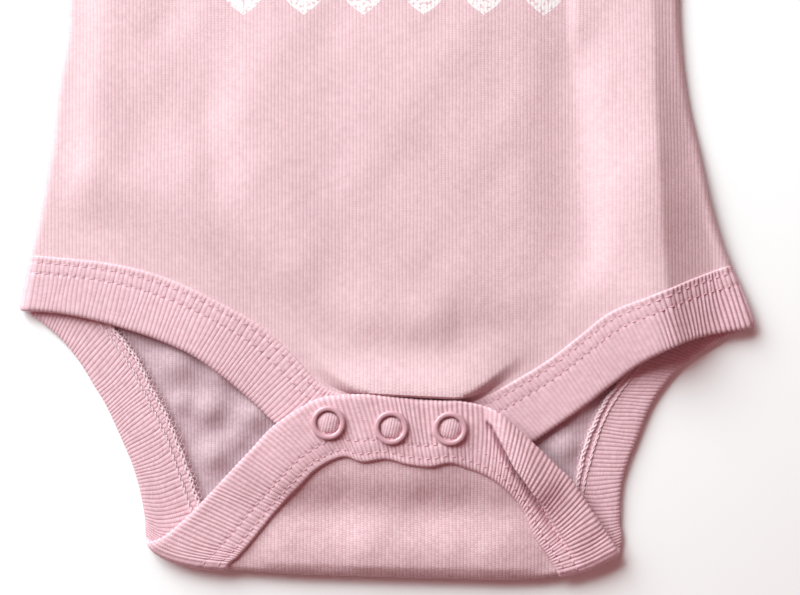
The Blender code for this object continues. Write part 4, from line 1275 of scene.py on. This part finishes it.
class BODYSUIT_OT_front_panel(bpy.types.Operator):
    """Lay the front over the back, with its soft folds and its bulge above the snaps"""

    bl_idname = "bodysuit.front_panel"
    bl_label = "Front panel"

    def execute(self, context):
        cloth = context.scene.bodysuit_cloth
        step = cloth.detail / MM
        seam = through(FRONT_BAND, 220)[:, :2]
        neck = through(mirrored(FRONT_NECK), 90)[:, :2]
        side = np.arange(-83.0, ARMPIT_Y, 2.0)
        arm_y = np.arange(84.0, 161.0, 2.0)

        def to_outline(points):
            x, y = np.asarray(points, dtype=float).T
            return np.stack((100.0 * (x - body_middle(y)) / front_cut_half(y), y), axis=1)

        def from_outline(u, y):
            return body_middle(y) + u * front_cut_half(y) / 100.0

        def lay(u, y):
            x = from_outline(u, y)
            laid = front_place(x, y, PANEL_HALF, PANEL_ROLL)
            laid[:, 1] -= (1.0 - wall_end(x)) * bell(y - front_seam(x), *WALL_LEAN)
            return laid, np.stack((x, y), axis=1)

        low = to_outline(inset(seam, -0.9))
        low = low[np.abs(low[:, 0]) < 99.2]
        arm = np.stack((armhole(arm_y), arm_y), axis=1)
        loop = np.vstack((
            low,
            [(100.0, y) for y in [RIGHT_HIP_Y, *side]],
            to_outline(arm),
            to_outline(inset(neck[::-1], -0.9)),
            to_outline(arm * (-1.0, 1.0))[::-1],
            [(-100.0, y) for y in [LEFT_HIP_Y, *side][::-1]],
        ))
        turned = np.array((96.2, 97.0, 97.7, 98.4, 99.0, 99.6))
        columns = np.concatenate((
            -turned[::-1],
            np.arange(-95.0, 75.0, 1.1 * step),
            np.arange(75.0, 95.8, 0.42 * step),
            turned,
        ))
        rows = np.concatenate((
            np.arange(-131.0, -84.0, 0.7 * step),
            np.arange(-83.0, 160.0, 1.35 * step),
        ))
        grid = lattice(columns, rows)
        x = from_outline(*grid.T)
        above = grid[:, 1] - front_seam(x)
        left, right = WALL_X
        far_left, far_right = left - WALL_BESIDE[0], right + WALL_BESIDE[1]
        grid = grid[(x < far_left) | (x > far_right) | (above > WALL_TOP)]
        wall = lattice(np.arange(left, right, 0.36 * step), np.arange(-0.2, WALL_TOP, 0.24 * step))
        wall[:, 1] += front_seam(wall[:, 0])
        beside = (np.arange(far_left, left, 0.45 * step), np.arange(right, far_right, 0.45 * step))
        ends = lattice(np.concatenate(beside), np.arange(-131.0, -96.0, 0.26 * step))
        ends = ends[ends[:, 1] - front_seam(ends[:, 0]) < WALL_TOP]
        grid = np.vstack((grid, to_outline(wall), to_outline(ends)))
        materials = [right_side(cloth, printed=True), wrong_side(cloth)]
        piece, size, area = cut_cloth("front_cloth", loop, grid, 0.4 * step, lay, materials, 0)
        declare(piece, size, area, ["front_panel"])
        return {"FINISHED"}


def back_leg_rows():
    """The leg and flap binding's rows in the back's flat cut."""
    rows = []
    for where, seam_x, seam_y, edge_x, edge_y, roll in BACK_BAND:
        seam = float(low_cut(np.float64(seam_x), seam_y, where))
        edge = float(low_cut(np.float64(edge_x), edge_y, where))
        rows.append((seam_x, seam, edge_x, edge, roll))
    return rows


def back_neck_rows():
    """The neck binding's rows in the back's flat cut."""
    return mirrored([(sx, TOP_LINE + sp, ex, TOP_LINE + ep) for sx, sp, ex, ep in BACK_NECK])


def all_bindings(cloth):
    """Every flat binding, by the node that it is."""
    pitch = cloth.binding_pitch / MM
    return {
        "back_leg_binding": Binding(
            back_leg_rows(), on_back, -1.0, pitch, BACK_LEG_CRESTS, BACK_LEG_DEPTHS,
        ),
        "front_leg_binding": Binding(
            FRONT_BAND, on_front, 1.0, pitch, FRONT_LEG_CRESTS, FRONT_LEG_DEPTHS,
        ),
        "back_neck_binding": Binding(back_neck_rows(), on_back, -1.0, pitch),
        "front_neck_binding": Binding(mirrored(FRONT_NECK), on_front, 1.0, pitch),
    }


class BODYSUIT_OT_bindings(bpy.types.Operator):
    """Sew the doubled rib bindings over the leg, crotch, flap and neck edges"""

    bl_idname = "bodysuit.bindings"
    bl_label = "Bindings"

    def execute(self, context):
        cloth = context.scene.bodysuit_cloth
        for node, binding in all_bindings(cloth).items():
            # how much painted shade the grooves get: less on the front leg binding, and wider on the
            # flap, whose crests are narrower
            depth = 0.75 if node == "front_leg_binding" else 0.9
            materials = [binding_knit(cloth, f"{node}_knit", binding.pitch, depth)]
            if node == "back_leg_binding":
                materials.append(binding_knit(cloth, "flap_binding_knit", binding.pitch, 0.85, 1.7))
            sew_binding(node, binding, materials)
        return {"FINISHED"}


class BODYSUIT_OT_stitching(bpy.types.Operator):
    """Run the two rows of needle thread outside each binding, and the looper thread inside"""

    bl_idname = "bodysuit.stitching"
    bl_label = "Stitching"

    def execute(self, context):
        cloth = context.scene.bodysuit_cloth
        # the needle thread's colour is partly painted shade of its stitch holes
        thread = thread_material("sewing_thread_and_shade", cloth.thread_and_shade_colour)
        looper = thread_material("looper_thread", cloth.looper_colour)
        for node, binding in all_bindings(cloth).items():
            rows = [needle_row(binding, row) for row in STITCH_ROWS]
            make_threads(f"{node}_stitches", np.concatenate(rows), 0.26, thread)
        legs = all_bindings(cloth)["back_leg_binding"]
        make_threads("back_leg_looper", looper_chain(legs, INSIDE_ROWS[1], 0.016, 2.1), 0.24, looper)
        make_threads("back_leg_overlock", looper_chain(legs, INSIDE_ROWS[0], 0.028, 1.9), 0.42, looper)
        make_threads("back_leg_fringe", fringe_loops(legs), 0.1, looper)
        return {"FINISHED"}


def needle_row(binding, row):
    """Stitches along one row, each over two ribs."""
    step = 2.0 * binding.pitch
    starts = np.arange(1, binding.ribs // 2 - 1) * step
    share = np.array((0.22, 0.27, 0.38, 0.5, 0.62, 0.73, 0.78))
    lift = np.array((-0.45, -0.1, 0.04, 0.08, 0.04, -0.1, -0.45))
    along = starts[:, None] + share * step
    out = np.broadcast_to(BAND_HALF - 0.24 + lift, along.shape)
    return binding.lay(along, np.full(along.shape, row), out)


def looper_chain(binding, row, reach, length):
    """A chain of crossed loops along a row of the binding's inside."""
    count = int(binding.length / length) - 4
    starts = (np.arange(count) + 2.0) * length
    drift = 0.3 * np.sin(1.7 * np.arange(count)) + 0.3 * np.sin(0.61 * np.arange(count))
    paths = []
    for way in (-1.0, 1.0):
        share = np.array((-0.05, 0.2, 0.5, 0.8, 1.1))
        across = row + reach * (way * np.array((-0.9, -0.5, 0.6, 1.1, 0.3)) + drift[:, None])
        out = -(BAND_HALF + np.array((-0.1, 0.06, 0.12 + 0.08 * way, 0.06, -0.1)))
        along = starts[:, None] + share * length
        paths.append(binding.lay(along, across, np.broadcast_to(out, along.shape)))
    return np.concatenate(paths)


def fringe_loops(binding):
    """Loose loops of thread from the overlocked edge over the cloth's wrong side."""
    step = 1.9
    count = int(binding.length / step) - 4
    number = np.arange(count)
    starts = (number + 2.0) * step
    jitter = 0.5 * np.sin(7.3 * number) + 0.4 * np.sin(2.9 * number)
    share = np.array((0.0, 0.2, 0.55, 0.85, 1.2))
    across = np.array((0.045, -0.02, -0.062, -0.035, 0.04))
    along = starts[:, None] + (share + 0.35 * jitter[:, None]) * step
    across = across * (1.0 + 0.45 * jitter[:, None])
    out = np.broadcast_to(-(BAND_HALF + np.array((0.2, 0.1, -0.2, 0.05, 0.2))), along.shape)
    return binding.lay(along, across, out)


# ---------------------------------------------------------------- sleeves
def flat_tube(share, width, height):
    """Points round a flattened tube: how far across it and how high, from shares of its round."""
    straight = width - height
    bend = 0.5 * np.pi * height
    total = 2.0 * (straight + bend)
    d = (share % 1.0) * total
    parts = (d < straight, d < straight + bend, d < 2.0 * straight + bend)
    down = (d - straight) / bend * np.pi
    up = (d - 2.0 * straight - bend) / bend * np.pi
    half = 0.5 * height
    under = width - half - (d - straight - bend)
    across = (half + d, width - half + half * np.sin(down), under)
    z = (height, half + half * np.cos(down), 0.0)
    return (
        np.select(parts, across, half - half * np.sin(up)),
        np.select(parts, z, half - half * np.cos(up)),
        total,
    )


def sleeve_cloth(name, mirror, inner, outer, height, wall, along, shares, relief, material):
    """A flattened tube of cloth from one line to another, with its wall's inner side.

    inner() and outer() give points from the shoulder to the armpit, for shares of 0 to 1, and
    relief(), where there is one, how far the outside stands proud.
    """
    start, end = (np.linalg.norm(line(np.array(0.0)) - line(np.array(1.0))) for line in (inner, outer))
    reach = np.linalg.norm(outer(np.array(0.5)) - inner(np.array(0.5)))
    rings = []
    charts = []
    order = [(t, 0.0) for t in along] + [(t, wall) for t in reversed(along)]
    for t, trim in order:
        width = start + (end - start) * t
        thick = height - 2.0 * trim
        pull = relief(shares, t) if relief and trim == 0.0 else 0.0
        across, z, total = flat_tube(shares, width - 2.0 * trim, thick)
        v = np.clip((across + trim) / width, 0.0, 1.0)
        ends = inner(v) + (outer(v) - inner(v)) * t
        upper = z > 0.5 * thick
        out = np.where(upper, 1.0, -1.0) * np.clip(np.abs(z / thick - 0.5) * 2.0, 0.0, 1.0)
        puff = SLEEVE_PUFF * np.sin(np.pi * v) * math.sin(math.pi * t) * upper
        points = np.stack((mirror * ends[:, 0], ends[:, 1], z + trim + puff + pull * out), axis=1)
        rings.append(points)
        charts.append(np.stack((shares * total, np.full(len(shares), t * reach)), axis=1))
    faces = stitch_grid(len(rings), len(shares), wrap_rows=True, wrap_columns=True)
    piece = add_piece(name, np.concatenate(rings), faces, [material], np.concatenate(charts))
    turn_out(piece)
    return piece, np.array((total, reach)) * MM


class BODYSUIT_OT_sleeves(bpy.types.Operator):
    """Lay both short sleeves and sew the bindings of their hems"""

    bl_idname = "bodysuit.sleeves"
    bl_label = "Sleeves"

    def execute(self, context):
        cloth = context.scene.bodysuit_cloth
        knit = right_side(cloth)

        def at_armhole(v):
            y = SLEEVE_CROWN_Y + (SLEEVE_AXIL_Y - SLEEVE_CROWN_Y) * v
            return np.stack((armhole(y) - 0.4, y), axis=-1)

        def straight_line(top, low):
            return lambda v: np.array(top) + np.multiply.outer(v, np.subtract(low, top))

        at_seam = straight_line(SLEEVE_SEAM_TOP, SLEEVE_SEAM_LOW)
        at_hem = straight_line(SLEEVE_TOP, SLEEVE_LOW)
        pitch = 2.0 * float(np.linalg.norm(np.subtract(SLEEVE_LOW, SLEEVE_TOP))) / CUFF_RIBS

        def ribbed(shares, t):
            wave = np.abs(np.sin(np.pi * shares * CUFF_RIBS)) ** 0.75
            pair = np.abs(np.sin(0.5 * np.pi * shares * CUFF_RIBS)) ** 0.6
            sewn = smooth_step(*CUFF_SEWN_FROM, t) * (1.0 - smooth_step(*CUFF_SEWN_TO, t))
            rows = bell(t, STITCH_ROWS[0], CUFF_ROW_WIDTH) + bell(t, STITCH_ROWS[1], CUFF_ROW_WIDTH)
            pulled = -1.5 * RIB_DEPTH * (1.0 - 0.4 * wave - 0.6 * pair)
            return -RIB_DEPTH * (1.0 - wave) * (1.0 - sewn) + pulled * sewn - 0.7 * STITCH_SINK * rows

        material = binding_knit(cloth, "sleeve_binding_knit", pitch)
        fine = (np.arange(CUFF_RIBS)[:, None] + RIB_PHASES).ravel() / CUFF_RIBS
        for side, mirror in (("left", -1.0), ("right", 1.0)):
            piece, size = sleeve_cloth(
                f"{side}_sleeve_cloth", mirror, at_armhole, at_seam, SLEEVE_HEIGHT, 2.0 * PANEL_HALF,
                np.linspace(0.0, 1.02, 26), np.linspace(0.0, 1.0, 180, endpoint=False), None, knit,
            )
            declare(piece, size, None, [f"{side}_sleeve"])
            piece, size = sleeve_cloth(
                f"{side}_sleeve_binding_cloth", mirror, at_seam, at_hem, CUFF_HEIGHT,
                1.5 * BAND_HALF, CUFF_SHARES, fine, ribbed, material,
            )
            declare(piece, size, None, [f"{side}_sleeve_binding"])
            # the thread's colour is partly painted shade of its stitch holes
            make_threads(
                f"{side}_sleeve_stitches", cuff_stitches(mirror, at_seam, at_hem), 0.2,
                thread_material("sewing_thread_and_shade", cloth.thread_and_shade_colour),
            )
        return {"FINISHED"}


def cuff_stitches(mirror, at_seam, at_hem):
    """The two rows of stitches on the upper side of a sleeve's binding."""
    count = CUFF_RIBS // 4 - 2
    starts = (np.arange(count) + 1.0) / (count + 2.0)
    share = np.array((0.02, 0.2, 0.5, 0.8, 0.98)) / (count + 2.0)
    lift = np.array((-0.3, 0.0, 0.15, 0.0, -0.3))
    paths = []
    for row in STITCH_ROWS:
        v = starts[:, None] + share
        flat = at_seam(v) + (at_hem(v) - at_seam(v)) * row
        puff = SLEEVE_PUFF * np.sin(np.pi * v) * math.sin(math.pi * row)
        z = CUFF_HEIGHT + puff + lift - 0.12
        paths.append(np.stack((mirror * flat[..., 0], flat[..., 1], z), axis=-1))
    return np.concatenate(paths)


# ---------------------------------------------------------------- snaps
def select_faces(test):
    """In edit mode, select the faces that pass a test, and nothing else."""
    bpy.ops.mesh.select_all(action="DESELECT")
    shape = bmesh.from_edit_mesh(bpy.context.edit_object.data)
    bpy.context.tool_settings.mesh_select_mode = (False, False, True)
    for face in shape.faces:
        face.select_set(test(face))
    bmesh.update_edit_mesh(bpy.context.edit_object.data)


def place_in_mesh(piece):
    """Put a piece's place into its mesh, so that its object sits at the origin."""
    bpy.ops.object.select_all(action="DESELECT")
    piece.select_set(True)
    bpy.context.view_layer.objects.active = piece
    bpy.ops.object.transform_apply(location=True, rotation=True, scale=True)


def snap_top(x, y):
    """The height of the flap's binding at a snap."""
    cut = low_cut(np.array(x), y, "flap")
    return float(on_back(np.array(x), cut)[2]) + BAND_HALF


class BODYSUIT_OT_snaps(bpy.types.Operator):
    """Press the three open rings into the flap, with the knit that bulges through each"""

    bl_idname = "bodysuit.snaps"
    bl_label = "Snaps"

    def execute(self, context):
        cloth = context.scene.bodysuit_cloth
        enamel = enamel_material(cloth.enamel_colour)
        for number, (x, y) in enumerate(SNAPS, start=1):
            bpy.ops.object.select_all(action="DESELECT")
            foot = snap_top(x, y) - RING_SUNK
            bpy.ops.mesh.primitive_cylinder_add(
                vertices=72, radius=0.5 * RING_OUTER * MM, depth=RING_HEIGHT * MM, calc_uvs=False,
                location=(x * MM, y * MM, (foot + 0.5 * RING_HEIGHT) * MM),
            )
            ring = bpy.context.active_object
            ring.name = f"snap_ring_{number}_enamel"
            bpy.ops.object.mode_set(mode="EDIT")
            select_faces(lambda face: abs(face.normal.z) > 0.9)
            bpy.ops.mesh.inset(thickness=0.5 * (RING_OUTER - RING_INNER) * MM, depth=0.0)
            bpy.ops.mesh.bridge_edge_loops()
            bpy.ops.object.mode_set(mode="OBJECT")
            soften = ring.modifiers.new("Bevel", "BEVEL")
            soften.width = RING_ROUNDING * MM
            soften.segments = 4
            soften.limit_method = "ANGLE"
            bpy.ops.object.modifier_apply(modifier=soften.name)
            bpy.ops.object.shade_smooth()
            place_in_mesh(ring)
            ring.data.materials.append(enamel)
            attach(ring, BODY)
            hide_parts(f"snap_ring_{number}")
            bulge_through(number, x, y, snap_top(x, y), cloth)
        return {"FINISHED"}


def bulge_through(number, x, y, top, cloth):
    """The knit that bulges through a ring, pulled in at the ring's five prongs."""
    turns = np.linspace(0.0, 2.0 * np.pi, 60, endpoint=False)
    rings = []
    for share in BULGE_SHARES:
        pull = 1.0 - PRONG_PULL * share * (0.5 + 0.5 * np.cos(PRONGS * turns + number))
        radius = BULGE_RADIUS * share * pull
        wave = 0.05 * np.abs(np.sin(np.pi * radius * np.cos(turns + BULGE_TURN) / SNAP_PITCHES[0]))
        crown = BULGE_HEIGHT * math.sqrt(max(1.0 - share ** 2, 0.0))
        z = top - BULGE_SUNK + crown + wave * (1.0 - share ** 4)
        round_x = x + radius * np.cos(turns)
        round_y = y + radius * np.sin(turns)
        rings.append(np.stack((round_x, round_y, z + 0.0 * turns), axis=1))
    points = np.concatenate(rings)
    faces = stitch_grid(len(rings), len(turns), wrap_columns=True)
    faces.append(tuple(range((len(rings) - 1) * len(turns), len(points))))
    faces.append(tuple(reversed(range(len(turns)))))
    c, s = math.cos(BULGE_TURN), math.sin(BULGE_TURN)
    uv = (points[:, :2] - (x, y)) @ np.array(((c, s), (-s, c)))
    # its grooves and loop holes get painted shade
    material = knit_material(
        "snap_knit", cloth.binding_colour, cloth.binding_groove_shade_colour, SNAP_PITCHES, 0.1, 0.8,
    )
    piece = add_piece(f"snap_{number}_knit", points, faces, [material], uv)
    turn_out(piece)


# ---------------------------------------------------------------- stage
class BODYSUIT_OT_stage(bpy.types.Operator):
    """Set the pale floor, the soft light and the camera above the garment"""

    bl_idname = "bodysuit.stage"
    bl_label = "Stage"

    def execute(self, context):
        stage = context.scene.bodysuit_stage
        x, y = stage.view_centre
        bpy.ops.object.select_all(action="DESELECT")
        bpy.ops.mesh.primitive_plane_add(size=6.0, location=(0.0, 0.0, 0.0))
        floor = bpy.context.active_object
        floor.name = "floor"
        floor.data.materials.append(floor_material(stage.floor_colour))
        camera = bpy.data.objects.new("camera", bpy.data.cameras.new("camera"))
        camera.location = (x, y, stage.camera_height)
        camera.data.sensor_width = SENSOR_WIDTH
        camera.data.lens = SENSOR_WIDTH * (stage.camera_height - VIEW_Z) / stage.view_width
        context.scene.collection.objects.link(camera)
        context.scene.camera = camera
        powers = (stage.window_power, stage.top_power)
        for (name, size, (beside, beyond, height)), power in zip(LAMPS, powers):
            lamp = bpy.data.lights.new(name, "AREA")
            lamp.size = size
            lamp.color = LAMP_COLOUR
            lamp.energy = power
            light = bpy.data.objects.new(name, lamp)
            light.location = (x + beside, y + beyond, height)
            aim = Vector((x, y, 0.0)) - light.location
            light.rotation_euler = aim.to_track_quat("-Z", "Y").to_euler()
            context.scene.collection.objects.link(light)
        world = bpy.data.worlds.new("room")
        world.use_nodes = True
        sky = world.node_tree.nodes["Background"]
        sky.inputs["Color"].default_value = ROOM_COLOUR
        sky.inputs["Strength"].default_value = stage.room_light
        context.scene.world = world
        context.scene.view_settings.view_transform = "Standard"
        return {"FINISHED"}


def floor_material(colour):
    """A plain pale floor."""
    plain = {"Base Color": (*colour, 1.0), "Roughness": 0.9, "Specular IOR Level": 0.1}
    return new_material("pale_floor", plain)[0]


# ================================================================ the sidebar
STEPS = (
    "stage", "back_panel", "front_panel", "bindings", "stitching", "sleeves", "snaps",
)


class BODYSUIT_PT_sidebar(bpy.types.Panel):
    """Lists the pieces of the bodysuit and their sizes"""

    bl_idname = "BODYSUIT_PT_sidebar"
    bl_label = "Bodysuit"
    bl_space_type = "VIEW_3D"
    bl_region_type = "UI"
    bl_category = "Bodysuit"

    def draw(self, context):
        for step in STEPS:
            self.layout.operator(f"bodysuit.{step}")
        for group in (context.scene.bodysuit_cloth, context.scene.bodysuit_stage):
            for name in group.bl_rna.properties.keys():
                if name not in {"rna_type", "name"}:
                    self.layout.prop(group, name)


CLASSES = (
    BodysuitCloth,
    BodysuitStage,
    BODYSUIT_OT_stage,
    BODYSUIT_OT_back_panel,
    BODYSUIT_OT_front_panel,
    BODYSUIT_OT_bindings,
    BODYSUIT_OT_stitching,
    BODYSUIT_OT_sleeves,
    BODYSUIT_OT_snaps,
    BODYSUIT_PT_sidebar,
)


def register():
    for cls in CLASSES:
        bpy.utils.register_class(cls)
    bpy.types.Scene.bodysuit_cloth = bpy.props.PointerProperty(type=BodysuitCloth)
    bpy.types.Scene.bodysuit_stage = bpy.props.PointerProperty(type=BodysuitStage)


def unregister():
    del bpy.types.Scene.bodysuit_stage
    del bpy.types.Scene.bodysuit_cloth
    for cls in reversed(CLASSES):
        bpy.utils.unregister_class(cls)


def main():
    """Make every piece."""
    register()
    for step in STEPS:
        getattr(bpy.ops.bodysuit, step)()


if __name__ == "__main__":
    main()
